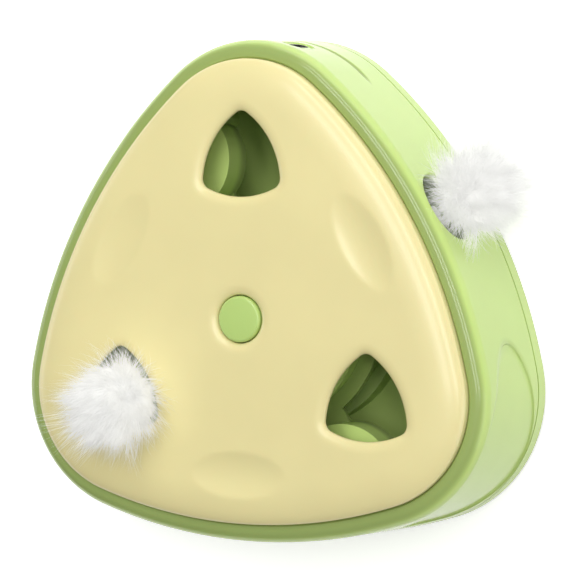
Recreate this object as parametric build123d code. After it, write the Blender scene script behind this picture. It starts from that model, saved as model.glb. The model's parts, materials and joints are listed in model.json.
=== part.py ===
from build123d import *
from math import acos, cos, degrees, pi, radians, sin, sqrt, tan
import os

# Automatic cat toy: a rounded-triangle drum that lies on the floor with its cream face up.
# A motor turns a turret inside, whose two fur teasers pop out of the face and of the side.
# Millimetres. Z is up, the origin is on the axis at the underside of the base,
# and +Y points to the corner with the charging port.

CORNER_ANGLES = (90, 210, 330)
SIDE_ANGLES = (30, 150, 270)

# Body outline at the cover's edge: three corner arcs and three side arcs, all tangent
corner_reach = 53.3
corner_radius = 39.2
side_radius = 183.7

# Body heights, from the underside of the base
base_height = 6.85
body_height = 51.7
parting_gap = 0.3

# Wall of the body: how far it stands outside the cover's edge at its foot and at the rim
base_flare = 9.7
rim_flare = 6.7
wall = 2.4
rim_round = 5.0
rim_plate = 3.6
foot_round = 1.5
round_steps = 4

# Clearances shared by all fits
running_gap = 0.06
slip_gap = 0.15
thrust_gap = 0.05
open_gap = 0.3
overrun = 2.0

# Cover
seat_depth = 1.7
ledge = 5.0
cover_side = 3.5
cover_wall = 2.4
shoulder_width = 14.0
shoulder_rise = 4.2
shoulder_steps = 5
hole_inset = 35.9
hole_reach = 13.4
hole_corner = 3.9
hole_side = 31.3
hole_lip = 2.0
dimple_inset = 17.9
dimple_length = 37.0
dimple_width = 16.6
dimple_depth = 1.3
cover_screw_inset = 8.5
cover_boss_radius = 3.6
cover_tab_radius = 5.5

# Side openings
opening_radius = 12.9
opening_margin = 4.7
opening_lip = 0.8

# Oval panels recessed in the two lower corners
panel_length = 77.0
panel_foot = 7.9
panel_head = 4.2
panel_depth = 0.6

# Groove under the charging port
groove_length = 79.0
groove_drop = 29.6
groove_rise = 3.4
groove_width = 1.2
groove_depth = 0.6
groove_corner = 7.0

# Charging port, turned about the top corner's arc
port_turn = 17.0
port_drop = 14.3
port_recess_length = 15.0
port_recess_width = 9.0
port_recess_depth = 0.8
socket_length = 8.9
socket_width = 3.2
socket_depth = 7.3
socket_skin = 0.3
socket_tongue = 0.7
socket_set_back = 0.2
port_board_margin = 1.7
port_board_depth = 10.0
port_board_thickness = 1.2
port_board_gap = 0.7
port_block_width = 4.0
port_screw_room = 0.15

# Base and its screws
floor = 2.2
tongue_wall = 1.5
tongue_height = 10.2
post_inset = 12.5
post_turn = 24.0
post_radius = 3.6
base_boss_radius = 4.2
base_boss_height = 14.0

# Feet
foot_inset = 14.5
foot_radius = 7.0
foot_thickness = 2.0
foot_sink = 0.8
foot_edge = 0.4

# Screws
screw_radius = 1.25
screw_clearance = 0.2
screw_head_radius = 2.4
screw_head_height = 1.6
screw_head_sink = 1.4
small_screw_radius = 0.9
small_head_radius = 1.7
small_head_height = 1.1
head_round_share = 0.33
housing_screw_grip = 8.0
cover_screw_grip = 4.0
pod_screw_grip = 8.0
board_screw_grip = 5.0
bracket_screw_grip = 1.2
rotor_screw_grip = 6.0
port_screw_grip = 2.6

# Gears: an internal ring on the turret and the pinion that drives it
gear_module = 1.0
ring_teeth = 72
pinion_teeth = 20
pressure_angle = 20.0
addendum_share = 1.0
dedendum_share = 1.25
backlash = 0.1
gear_width = 4.0
ring_gear_wall = 4.7
ring_gear_height = 4.6
pinion_side_gap = 0.25
drive_angle = 270.0

# Centre pod
land_step = 1.0
pod_wall = 2.0
pod_lip = 1.3
shelf_gap = 2.0
shelf_thickness = 1.6
lower_land_height = 4.0
upper_land_height = 6.6
window_room = 1.0
column_inset = 3.7
column_radius = 3.0
column_angles = (45, 135, 225, 315)

# Turret
washer_thickness = 1.15
drum_wall = 2.4
drum_flange = 2.0
rotor_thickness = 2.2
rotor_ring_width = 7.5
rotor_screw_offset = 1.84
rotor_boss_radius = 2.8
rotor_screw_turn = 45.0
arm_width = 15.0
arm_corner = 6.0
arm_corner_share = 0.45
face_arm_tip = 8.0
side_arm_tip = 2.0
wing_room = 4.3
wing_inset = 7.4
wing_radius = 20.0
wing_corner = 5.0
wing_lift = 11.4
wing_gap = 1.0
collar_width = 2.9
hood_width = 5.4
hood_thickness = 1.5
hood_lift = 11.8

# Teasers: which corner hole and which side opening they stand in
face_teaser_angle = 210.0
side_teaser_angle = 30.0
socket_bore = 1.6
socket_radius = 4.5
socket_taper = 1.2
stem_seat = 8.0
face_stem_free = 3.7
side_stem_free = 9.6
side_socket_length = 12.0
side_socket_lift = 5.5
pedestal_width = 6.0
stem_collar_radius = 3.0
stem_collar_height = 2.0
neck_radius = 4.5
neck_length = 8.0
face_ball_radius = 17.5
side_ball_radius = 16.5
face_ball_lift = 2.6
side_ball_lift = 3.0
ball_sit_share = 0.5
ball_lean = 4.5

# Drive
gearbox_length = 12.0
gearbox_width = 10.0
gearbox_height = 9.0
gearbox_edge = 0.6
can_headroom = 6.6
can_nose_radius = 3.0
can_nose_height = 0.9
shaft_radius = 1.5
shaft_insert = 5.0
shaft_tip = 0.6
terminal_width = 1.6
terminal_thickness = 0.4
terminal_height = 1.8
terminal_spread = 6.0
bracket_wall = 1.2
bracket_height = 7.0
bracket_ear = 4.8
bracket_ear_thickness = 1.4
bracket_ear_depth = 5.6

# Battery, a single round cell lying in two ribs
cell_radius = 7.0
cell_end_room = 1.5
cell_edge = 0.6
cell_cap_radius = 2.6
cell_cap_height = 1.2
cell_offset = 9.0
cell_lift = 1.0
rib_thickness = 3.0
rib_width = 15.0
rib_spread = 30.0
rib_height_share = 0.7

# Board, switch and button
board_gap = 0.6
board_thickness = 1.6
switch_size = 6.0
switch_height = 3.5
switch_edge = 0.5
plunger_radius = 1.75
plunger_insert = 2.2
plunger_stand = 0.6
button_radius = 8.3
button_gap = 0.35
button_flange = 1.7
button_flange_thickness = 1.2
button_crown = 0.9
button_sleeve_wall = 1.8
button_sleeve_length = 4.2
button_nib_radius = 2.4
button_travel = 0.5

# Heights and radii that follow from the sizes above
seat_height = body_height - seat_depth
plate_under = body_height - rim_plate
shoulder_start = seat_height + cover_side
face_height = shoulder_start + shoulder_rise
cover_under = face_height - cover_wall
housing_foot = base_height + parting_gap
opening_height = body_height - opening_margin - opening_radius
panel_height = body_height - panel_foot - panel_head
panel_middle = panel_foot + panel_height / 2
groove_bottom = body_height - groove_drop
port_height = body_height - port_drop
corner_tip = corner_reach + corner_radius
side_centre = sqrt((side_radius - corner_radius) ** 2 - 3 * corner_reach ** 2 / 4) - corner_reach / 2
side_middle = side_radius - side_centre
hole_circle = corner_tip - hole_inset
cover_screw_circle = corner_tip - cover_screw_inset
post_circle = corner_tip - post_inset
foot_circle = corner_tip - foot_inset
dimple_circle = side_middle - dimple_inset
port_screw_spread = socket_length + 2 * (small_head_radius + port_screw_room)
port_board_length = port_screw_spread + 2 * port_board_margin
addendum = addendum_share * gear_module
dedendum = dedendum_share * gear_module
ring_pitch = gear_module * ring_teeth / 2
pinion_pitch = gear_module * pinion_teeth / 2
drive_reach = ring_pitch - pinion_pitch
ring_foot = floor + washer_thickness + thrust_gap
ring_top = ring_foot + ring_gear_height
ring_outer = ring_pitch + dedendum + ring_gear_wall
pinion_foot = floor + washer_thickness + pinion_side_gap
land_radius = ring_pitch - addendum
pod_radius = land_radius - land_step
pod_bore = pod_radius - pod_wall
shelf_height = pinion_foot + gear_width + shelf_gap
shelf_top = shelf_height + shelf_thickness
column_circle = pod_bore - column_inset
cell_half_chord = sqrt(pod_bore ** 2 - (cell_offset + cell_radius) ** 2)
cell_length = 2 * (cell_half_chord - cell_cap_height - cell_end_room)
drum_radius = land_radius + running_gap
rotor_screw_circle = drum_radius + drum_wall + rotor_screw_offset
rotor_top = opening_height - side_socket_lift
rotor_height = rotor_top - rotor_thickness
turret_reach = side_middle + rim_flare - wall - wing_room
wing_middle = turret_reach - wing_inset
retainer_foot = rotor_top + 2 * thrust_gap
hood_top = retainer_foot + hood_lift
sleeve_foot = cover_under - button_sleeve_length
flange_top = sleeve_foot - thrust_gap
flange_foot = flange_top - button_flange_thickness
plunger_top = flange_foot - button_travel - thrust_gap
switch_top = plunger_top - plunger_stand
board_top = switch_top - switch_height
column_top = board_top - board_thickness
can_height = column_top - shelf_top - gearbox_height - terminal_height - can_headroom
pod_height = board_top + pod_lip
board_radius = pod_bore - board_gap
boss_head_height = screw_head_sink + screw_head_height

UP = (Align.CENTER, Align.CENTER, Align.MIN)


def polar(radius, angle, height=0):
    """Point at a radius and an angle in degrees about the axis."""
    return Vector(radius * cos(radians(angle)), radius * sin(radians(angle)), height)


def at_polar(radius, angle, height=0):
    """Location of such a point, unturned."""
    return Pos(*polar(radius, angle, height))


def radial_plane(radius, angle, height):
    """Upright plane that faces outwards: x along the wall, y up, z away from the axis."""
    return Plane(origin=polar(radius, angle, height), x_dir=polar(1, angle + 90), z_dir=polar(1, angle))


def rod(radius, bottom, top):
    """Upright cylinder on the axis between two heights."""
    return Pos(0, 0, bottom) * Cylinder(radius, top - bottom, align=UP)


def tube(outer, inner, bottom, top):
    """Upright tube on the axis between two heights."""
    return rod(outer, bottom, top) - rod(inner, bottom - overrun, top + overrun)


def rounded_triangle(reach, corner, side, grow=0):
    """Face of six tangent arcs: corner arcs centred at a reach from the middle, with bowed sides between."""
    away = sqrt((side - corner) ** 2 - 3 * reach ** 2 / 4) - reach / 2
    edges = []
    for angle in CORNER_ANGLES:
        centre = polar(reach, angle)
        following = polar(reach, angle + 120)
        side_middle_point = polar(away, angle + 240)
        start = centre + (centre - polar(away, angle + 120)).normalized() * (corner + grow)
        end = centre + (centre - side_middle_point).normalized() * (corner + grow)
        next_start = following + (following - side_middle_point).normalized() * (corner + grow)
        edges.append(ThreePointArc(start, centre + polar(corner + grow, angle), end))
        edges.append(ThreePointArc(end, side_middle_point + polar(side + grow, angle + 60), next_start))
    return make_face(edges)


def body_outline(grow, height):
    """Outline of the body at a height, grown outwards from the cover's edge."""
    return Pos(0, 0, height) * rounded_triangle(corner_reach, corner_radius, side_radius, grow)


def body_stack(levels):
    """Solid through body outlines, given as pairs of growth and height."""
    return loft([body_outline(grow, height) for grow, height in levels], ruled=True)


def wall_flare(height):
    """Growth of the drafted outer wall at a height."""
    return base_flare + (rim_flare - base_flare) * height / body_height


def face_neck_foot():
    """Height where the face teaser's neck starts, under the cover."""
    return face_height - neck_length


def side_neck_foot():
    """Radius where the side teaser's neck starts, inside the wall."""
    return side_middle + wall_flare(opening_height) - neck_length


def face_socket_top():
    """Height of the upper end of the face teaser's holder."""
    return face_neck_foot() - face_stem_free


def side_socket_end():
    """Radius of the outer end of the side teaser's holder."""
    return side_neck_foot() - side_stem_free


def shoulder_levels(inset, drop):
    """Levels of the cover's quarter-ellipse shoulder, moved inwards and down."""
    levels = [(-inset, shoulder_start - drop)]
    for step in range(1, shoulder_steps + 1):
        turn = radians(90 * step / shoulder_steps)
        inwards = inset + shoulder_width * (1 - cos(turn))
        levels.append((-inwards, shoulder_start - drop + shoulder_rise * sin(turn)))
    return levels


def round_turns():
    """Angles in radians of the steps of a quarter round."""
    return [radians(90 * step / round_steps) for step in range(1, round_steps + 1)]


def rim_levels():
    """Levels of the rounded rim at the top of the wall."""
    start = body_height - rim_round
    levels = [(wall_flare(start), start)]
    for turn in round_turns():
        levels.append((wall_flare(start) - rim_round * (1 - cos(turn)), start + rim_round * sin(turn)))
    return levels


def foot_levels():
    """Levels of the rounded edge round the base's underside, from the underside up."""
    levels = [(wall_flare(foot_round), foot_round)]
    for turn in round_turns():
        levels.append((wall_flare(foot_round) - foot_round * (1 - cos(turn)), foot_round * (1 - sin(turn))))
    return levels[::-1]


def wall_skin(depth):
    """Thin layer of the outer wall, as deep as a recess."""
    outside = body_stack([(wall_flare(0) + overrun, 0), (wall_flare(body_height) + overrun, body_height)])
    inside = body_stack([(wall_flare(0) - depth, 0), (wall_flare(body_height) - depth, body_height)])
    return outside - inside


def upright_screw(radius, length, head_radius, head_height):
    """Screw with its head at the bottom, its head's upper face at zero and its shank upwards."""
    head = rod(head_radius, -head_height, 0)
    shank = rod(radius, 0, length)
    return fillet(head.edges().group_by(Axis.Z)[0], head_height * head_round_share) + shank


def gear_face(teeth, tip, root, thinning):
    """Involute gear with each flank an arc through its points at the root, pitch and tip circles."""
    pitch = gear_module * teeth / 2
    base = pitch * cos(radians(pressure_angle))
    lean = radians(pressure_angle)
    step = 360 / teeth

    def half_turn(radius):
        roll = acos(base / max(radius, base))
        half_thickness = (pi * gear_module / 2 - thinning) / (2 * pitch)
        return degrees(half_thickness + tan(lean) - lean - tan(roll) + roll)

    edges = []
    for tooth in range(teeth):
        middle = tooth * step
        rising = [polar(radius, middle - half_turn(radius)) for radius in (root, pitch, tip)]
        falling = [polar(radius, middle + half_turn(radius)) for radius in (tip, pitch, root)]
        following = polar(root, middle + step - half_turn(root))
        edges.append(ThreePointArc(*rising))
        edges.append(ThreePointArc(rising[-1], polar(tip, middle), falling[0]))
        edges.append(ThreePointArc(*falling))
        edges.append(ThreePointArc(falling[-1], polar(root, middle + step / 2), following))
    return make_face(edges)


# Shells

def make_base_shell():
    """Tray with a drafted side, a tongue inside the housing's wall, screw bosses and foot recesses."""
    shell = body_stack(foot_levels() + [(wall_flare(base_height), base_height)])
    inner = wall_flare(housing_foot) - wall - slip_gap
    shell += body_stack([(inner, floor), (inner, tongue_height)])
    hollow = inner - tongue_wall
    shell -= body_stack([(hollow, floor), (hollow, tongue_height + overrun)])
    for angle in CORNER_ANGLES:
        boss = at_polar(post_circle, angle + post_turn)
        shell += boss * rod(base_boss_radius, 0, base_boss_height)
        shell -= boss * rod(screw_radius + screw_clearance, -overrun, base_boss_height + overrun)
        shell -= boss * rod(screw_head_radius + screw_clearance, -overrun, boss_head_height)
        shell -= at_polar(foot_circle, angle) * rod(foot_radius, -overrun, foot_sink)
    for angle in column_angles:
        hole = at_polar(column_circle, angle)
        shell -= hole * rod(screw_radius + screw_clearance, -overrun, floor + overrun)
        shell -= hole * rod(screw_head_radius + screw_clearance, -overrun, screw_head_sink)
    return shell


def port_plane():
    """Plane on the outer wall at the charging port: x along the wall, y up, z outwards."""
    angle = CORNER_ANGLES[0] - port_turn
    centre = polar(corner_reach, CORNER_ANGLES[0], port_height)
    origin = centre + polar(corner_radius + wall_flare(port_height), angle)
    return Plane(origin=origin, x_dir=polar(1, angle + 90), z_dir=polar(1, angle))


def port_block():
    """Block inside the wall that the port's board is screwed to."""
    reach = wall / 2 + port_board_gap + port_board_depth
    middle = -socket_width / 2 - port_board_thickness - port_block_width / 2
    block = Box(port_block_width, port_board_length, reach, align=(Align.CENTER, Align.CENTER, Align.MAX))
    return port_plane() * Pos(middle, 0, -wall / 2) * block


def port_screw_places():
    """Screw axes of the port's board, in the port's plane."""
    depth = -wall - port_board_gap - port_board_depth / 2
    return [(side * port_screw_spread / 2, depth) for side in (-1, 1)]


def port_screw_location(up, depth):
    """Location of a port screw: its head's seat on the board, its shank into the block."""
    seat = Pos(-socket_width / 2, up, depth)
    return Location(port_plane()) * seat * Rot(0, -90, 0)


def make_upper_housing():
    """Drafted wall with a rounded rim, a seat for the cover, openings, recesses and screw posts."""
    shell = body_stack([(wall_flare(housing_foot), housing_foot)] + rim_levels())
    shell -= body_stack([
        (wall_flare(housing_foot) - wall, housing_foot - overrun),
        (wall_flare(housing_foot) - wall, housing_foot),
        (wall_flare(plate_under) - wall, plate_under),
    ])
    shell -= body_stack([(-ledge, plate_under - overrun), (-ledge, body_height + overrun)])
    shell -= body_stack([(slip_gap, seat_height), (slip_gap, body_height + overrun)])
    for angle in CORNER_ANGLES:
        tab = at_polar(cover_screw_circle, angle)
        shell += tab * rod(cover_tab_radius, plate_under, seat_height)
        shell -= tab * rod(screw_radius + screw_clearance, plate_under - overrun, seat_height + overrun)
        post = at_polar(post_circle, angle + post_turn)
        shell += post * rod(post_radius, base_boss_height, plate_under)
        pilot_top = base_boss_height + housing_screw_grip + overrun
        shell -= post * rod(screw_radius, base_boss_height - overrun, pilot_top)
    for angle in SIDE_ANGLES:
        cutter = radial_plane(side_middle, angle, opening_height) * Circle(opening_radius)
        shell -= extrude(cutter, base_flare + overrun)
    lips = []
    for angle in SIDE_ANGLES:
        middle = polar(side_middle + wall_flare(opening_height), angle, opening_height)
        lips.append(min(shell.edges(), key=lambda edge: (edge.bounding_box().center() - middle).length))
    shell = fillet(lips, opening_lip)
    skin = wall_skin(panel_depth)
    for angle in CORNER_ANGLES[1:]:
        oval = radial_plane(corner_reach, angle, panel_middle) * Ellipse(panel_length / 2, panel_height / 2)
        shell -= extrude(oval, corner_radius + base_flare + overrun) & skin
    groove = RectangleRounded(groove_length, groove_length / 2, groove_corner)
    groove -= RectangleRounded(
        groove_length - 2 * groove_width, groove_length / 2 - 2 * groove_width, groove_corner - groove_width
    )
    groove = Pos(0, groove_length / 4) * groove
    groove &= Rectangle(groove_length, groove_rise, align=(Align.CENTER, Align.MIN))
    groove = radial_plane(corner_reach, CORNER_ANGLES[0], groove_bottom) * groove
    shell -= extrude(groove, corner_radius + base_flare) & wall_skin(groove_depth)
    shell += port_block()
    recess = SlotOverall(port_recess_length, port_recess_width, rotation=90)
    shell -= extrude(port_plane() * Pos(0, 0, -port_recess_depth) * recess, port_recess_depth + overrun)
    slot = SlotOverall(socket_length + 2 * slip_gap, socket_width + 2 * slip_gap, rotation=90)
    shell -= extrude(port_plane() * Pos(0, 0, -wall - overrun) * slot, wall + 2 * overrun)
    pilot = rod(small_screw_radius, 0, port_screw_grip + port_board_thickness)
    for up, depth in port_screw_places():
        shell -= port_screw_location(up, depth) * pilot
    return shell


def hole_face():
    """Outline of one face hole, centred on its own middle."""
    return rounded_triangle(hole_reach, hole_corner, hole_side)


def make_top_cover():
    """Domed plate with three lipped holes, three dimples, a button sleeve and screw bosses."""
    outside = body_stack([(0, seat_height)] + shoulder_levels(0, 0))
    inside = body_stack([(-cover_wall, seat_height - overrun)] + shoulder_levels(cover_wall, cover_wall))
    cover = outside - inside
    sleeve_radius = button_radius + button_gap
    cover += rod(sleeve_radius + button_sleeve_wall, sleeve_foot, cover_under + cover_wall / 2)
    for angle in CORNER_ANGLES:
        boss = at_polar(cover_screw_circle, angle)
        cover += boss * rod(cover_boss_radius, seat_height, face_height) & outside
        cover -= boss * rod(screw_radius, seat_height - overrun, seat_height + cover_screw_grip)
        hole = extrude(hole_face(), face_height)
        cover -= at_polar(hole_circle, angle, seat_height) * hole
    cover -= rod(sleeve_radius, seat_height - overrun, face_height + overrun)
    top = cover.faces().sort_by(Axis.Z)[-1]
    rims = [edge for wire in top.inner_wires() for edge in wire.edges()]
    cover = fillet(rims, hole_lip)
    dimple = scale(Sphere(1), by=(dimple_width / 2, dimple_length / 2, dimple_depth))
    for angle in SIDE_ANGLES:
        cover -= at_polar(dimple_circle, angle, face_height) * Rot(0, 0, angle) * dimple
    return cover


def make_rubber_feet():
    """One round pad under each corner, sunk into the base."""
    pad = rod(foot_radius, foot_sink - foot_thickness, foot_sink)
    pad = fillet(pad.edges().group_by(Axis.Z)[0], foot_edge)
    return Part() + [at_polar(foot_circle, angle) * pad for angle in CORNER_ANGLES]


# Screws that hold the shells

def make_housing_screws():
    """Screws through the base's bosses into the housing's posts."""
    length = base_boss_height - boss_head_height + housing_screw_grip
    screw = upright_screw(screw_radius, length, screw_head_radius, screw_head_height)
    places = [at_polar(post_circle, angle + post_turn, boss_head_height) for angle in CORNER_ANGLES]
    return Part() + [place * screw for place in places]


def make_cover_screws():
    """Screws from inside, through the housing's tabs into the cover's bosses."""
    length = seat_height - plate_under + cover_screw_grip
    screw = upright_screw(screw_radius, length, screw_head_radius, screw_head_height)
    return Part() + [at_polar(cover_screw_circle, angle, plate_under) * screw for angle in CORNER_ANGLES]


def make_pod_screws():
    """Screws through the floor into the pod's columns."""
    length = floor - screw_head_sink + pod_screw_grip
    screw = upright_screw(screw_radius, length, screw_head_radius, screw_head_sink)
    return Part() + [at_polar(column_circle, angle, screw_head_sink) * screw for angle in column_angles]


# Fixed works

def cell_centre():
    """Middle of the battery above the shelf."""
    return Pos(0, cell_offset, shelf_top + cell_lift + cell_radius)


def motor_place(height):
    """Location on the motor's axis at a height."""
    return at_polar(drive_reach, drive_angle, height)


def make_centre_pod():
    """Fixed drum with two bearing lands, a shelf, screw columns, battery ribs and a pinion window."""
    pod = rod(pod_radius, floor, pod_height)
    pod += rod(land_radius, shelf_height, shelf_height + lower_land_height)
    pod += rod(land_radius, retainer_foot - upper_land_height, retainer_foot)
    pod -= rod(pod_bore, shelf_top, pod_height + overrun)
    pod -= rod(pod_bore, floor - overrun, shelf_height)
    for angle in column_angles:
        column = at_polar(column_circle, angle)
        pod += column * rod(column_radius, floor, column_top)
        pod -= column * rod(screw_radius, floor - overrun, floor + pod_screw_grip + overrun)
        pilot_foot = column_top - board_screw_grip - overrun
        pod -= column * rod(small_screw_radius, pilot_foot, column_top + overrun)
    cell = cell_centre() * Rot(0, 90, 0) * Cylinder(cell_radius + slip_gap / 2, cell_length)
    rib_height = cell_lift + cell_radius * rib_height_share
    rib = Box(rib_thickness, rib_width, rib_height, align=UP)
    for side in (-1, 1):
        pod += Pos(side * rib_spread / 2, cell_offset, shelf_top) * rib - cell
    pod -= motor_place(0) * rod(shaft_radius + open_gap, shelf_height - overrun, shelf_top + overrun)
    bracket_hole = rod(small_screw_radius, -bracket_screw_grip - bracket_ear_thickness, 0)
    for side in (-1, 1):
        pod -= bracket_screw_place(side) * bracket_hole
    window_width = 2 * (pinion_pitch + addendum + window_room)
    window = Rectangle(2 * pod_radius, window_width, align=(Align.MIN, Align.CENTER))
    window = Rot(0, 0, drive_angle) * window
    window -= Circle(pod_bore - overrun)
    pod -= Pos(0, 0, floor - overrun) * extrude(window, shelf_height - floor + overrun)
    return pod


def make_thrust_washer():
    """Flat ring on the floor that the turret's gear runs on."""
    return tube(ring_outer, pod_radius + open_gap, floor, floor + washer_thickness)


def make_retaining_ring():
    """Collar that keeps the turret down, with a hood that keeps hair out of the bearing."""
    collar = tube(pod_radius + collar_width, pod_radius, retainer_foot, hood_top)
    return collar + tube(pod_radius + hood_width, pod_radius, hood_top - hood_thickness, hood_top)


def make_battery():
    """Round cell with a raised end cap."""
    cell = Cylinder(cell_radius, cell_length)
    cell = fillet(cell.edges(), cell_edge)
    cell += Pos(0, 0, cell_length / 2) * Cylinder(cell_cap_radius, cell_cap_height, align=UP)
    return cell_centre() * Rot(0, 90, 0) * cell


def make_gearbox():
    """Flat-plate reduction box on the shelf, bored for its output shaft."""
    box = Box(gearbox_length, gearbox_width, gearbox_height, align=UP)
    box = chamfer(box.edges().filter_by(Axis.Z), gearbox_edge)
    box -= rod(shaft_radius + running_gap, -overrun, shaft_insert + running_gap)
    return motor_place(shelf_top) * box


def make_motor_can():
    """Round can with two flats and two terminals at its end."""
    can = Cylinder(gearbox_length / 2, can_height, align=UP)
    can &= Box(gearbox_length, gearbox_width, can_height, align=UP)
    can += Pos(0, 0, can_height) * Cylinder(can_nose_radius, can_nose_height, align=UP)
    for side in (-1, 1):
        tab = Box(terminal_thickness, terminal_width, terminal_height, align=UP)
        can += Pos(side * terminal_spread / 2, 0, can_height) * tab
    return motor_place(shelf_top + gearbox_height) * can


def bracket_screw_place(side):
    """Location of a bracket screw's head on its ear."""
    reach = gearbox_length / 2 + bracket_wall + bracket_ear / 2
    return motor_place(shelf_top + bracket_ear_thickness) * Pos(side * reach, bracket_shift(), 0)


def bracket_shift():
    """How far the bracket's middle lies towards the axis from the motor's."""
    return bracket_wall / 2


def make_motor_bracket():
    """Clip round three sides of the gearbox, with a screw ear on each side."""
    outer = Box(gearbox_length + 2 * bracket_wall, gearbox_width + bracket_wall, bracket_height, align=UP)
    inner = Box(gearbox_length, gearbox_width, gearbox_height, align=UP)
    bracket = Pos(0, bracket_shift(), 0) * outer
    span = gearbox_length + 2 * bracket_wall + 2 * bracket_ear
    bracket += Pos(0, bracket_shift(), 0) * Box(span, bracket_ear_depth, bracket_ear_thickness, align=UP)
    bracket -= inner
    bracket -= Pos(0, -bracket_wall, 0) * inner
    bracket = motor_place(shelf_top) * bracket
    for side in (-1, 1):
        hole = rod(small_screw_radius + screw_clearance, -bracket_ear_thickness - overrun, overrun)
        bracket -= bracket_screw_place(side) * hole
    return bracket


def make_bracket_screws():
    """Two small screws through the bracket's ears into the shelf."""
    length = bracket_ear_thickness + bracket_screw_grip
    screw = Rot(180, 0, 0) * upright_screw(small_screw_radius, length, small_head_radius, small_head_height)
    return Part() + [bracket_screw_place(side) * screw for side in (-1, 1)]


def make_control_board():
    """Round board on the pod's columns."""
    board = rod(board_radius, column_top, board_top)
    for angle in column_angles:
        hole = rod(small_screw_radius + screw_clearance, column_top - overrun, board_top + overrun)
        board -= at_polar(column_circle, angle) * hole
    return board


def make_board_screws():
    """Small screws that hold the board on its columns."""
    length = board_thickness + board_screw_grip
    screw = Rot(180, 0, 0) * upright_screw(small_screw_radius, length, small_head_radius, small_head_height)
    return Part() + [at_polar(column_circle, angle, board_top) * screw for angle in column_angles]


def make_tact_switch():
    """Square switch body with a round bore for its plunger."""
    body = Pos(0, 0, board_top) * Box(switch_size, switch_size, switch_height, align=UP)
    body = chamfer(body.edges().filter_by(Axis.Z), switch_edge)
    depth = plunger_insert + button_travel + thrust_gap
    return body - rod(plunger_radius + running_gap, switch_top - depth, switch_top + overrun)


def make_port_board():
    """Small upright board screwed to the housing's block."""
    align = (Align.MAX, Align.CENTER, Align.MAX)
    board = Box(port_board_thickness, port_board_length, port_board_depth, align=align)
    board = port_plane() * Pos(-socket_width / 2, 0, -wall - port_board_gap) * board
    for up, depth in port_screw_places():
        hole = rod(small_screw_radius, -overrun, port_board_thickness + overrun)
        board -= port_screw_location(up, depth) * hole
    return board


def make_port_screws():
    """Two small screws that hold the port's board."""
    length = port_board_thickness + port_screw_grip
    screw = upright_screw(small_screw_radius, length, small_head_radius, small_head_height)
    return Part() + [port_screw_location(up, depth) * screw for up, depth in port_screw_places()]


def make_usb_socket():
    """Flat-oval metal socket with a tongue inside, its mouth just behind the recess's floor."""
    shell = extrude(SlotOverall(socket_length, socket_width, rotation=90), -socket_depth)
    mouth = SlotOverall(socket_length - 2 * socket_skin, socket_width - 2 * socket_skin, rotation=90)
    shell -= extrude(mouth, -socket_depth + socket_skin)
    tongue_length = socket_length - socket_width
    tongue = Box(socket_tongue, tongue_length, socket_depth - socket_tongue, align=UP)
    shell += Pos(0, 0, -socket_depth) * tongue
    return port_plane() * Pos(0, 0, -port_recess_depth - socket_set_back) * shell


# Button

def make_power_button():
    """Round cap with a slightly crowned top, a retaining flange and a nib on the switch."""
    cap = rod(button_radius, flange_foot, face_height)
    cap = fillet(cap.edges().group_by(Axis.Z)[-1], button_crown)
    cap += rod(button_radius + button_flange, flange_foot, flange_top)
    cap -= rod(button_radius - cover_wall, flange_foot - overrun, face_height - cover_wall)
    cap += rod(button_nib_radius, plunger_top, face_height - cover_wall)
    return cap


def make_switch_plunger():
    """Plunger of the switch, in its bore and under the button's nib."""
    return rod(plunger_radius, switch_top - plunger_insert, plunger_top)


# Turret

def make_ring_gear():
    """Ring with internal teeth round the pod's foot."""
    ring = rod(ring_outer, ring_foot, ring_top)
    gap = gear_face(ring_teeth, ring_pitch + dedendum, ring_pitch - addendum, -backlash)
    return ring - Pos(0, 0, ring_foot - overrun) * extrude(gap, ring_gear_height + 2 * overrun)


def rotor_screw_angles():
    """Screw angles of the rotor plate, between its arms."""
    return [face_teaser_angle + rotor_screw_turn + quarter * 90 for quarter in range(4)]


def make_turret_drum():
    """Sleeve that turns on the pod's lands, flanged on the ring gear, with bosses for the rotor plate."""
    drum = rod(drum_radius + drum_wall, ring_top, rotor_height)
    drum += rod(ring_outer, ring_top, ring_top + drum_flange)
    for angle in rotor_screw_angles():
        drum += at_polar(rotor_screw_circle, angle) * rod(rotor_boss_radius, ring_top, rotor_height)
    drum -= rod(drum_radius, ring_top - overrun, rotor_height + overrun)
    for angle in rotor_screw_angles():
        pilot = rod(small_screw_radius, rotor_height - rotor_screw_grip, rotor_height + overrun)
        drum -= at_polar(rotor_screw_circle, angle) * pilot
    return drum


def arm_face(reach, angle):
    """Arm from the turret's ring out to a reach, with corners that a short arm limits."""
    length = reach - drum_radius - drum_wall
    arm = RectangleRounded(length, arm_width, min(arm_corner, arm_corner_share * length))
    return Rot(0, 0, angle) * Pos(reach - length / 2, 0) * arm


def wing_face(inset):
    """Outline of a wing's raised end along +X: a round that the turret's reach cuts off, clear of the hood."""
    wing = Pos(wing_middle, 0) * Circle(wing_radius - inset) & Circle(turret_reach - inset)
    wing -= Circle(pod_radius + hood_width + wing_gap + inset)
    return fillet(wing.vertices(), wing_corner - inset)


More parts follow.
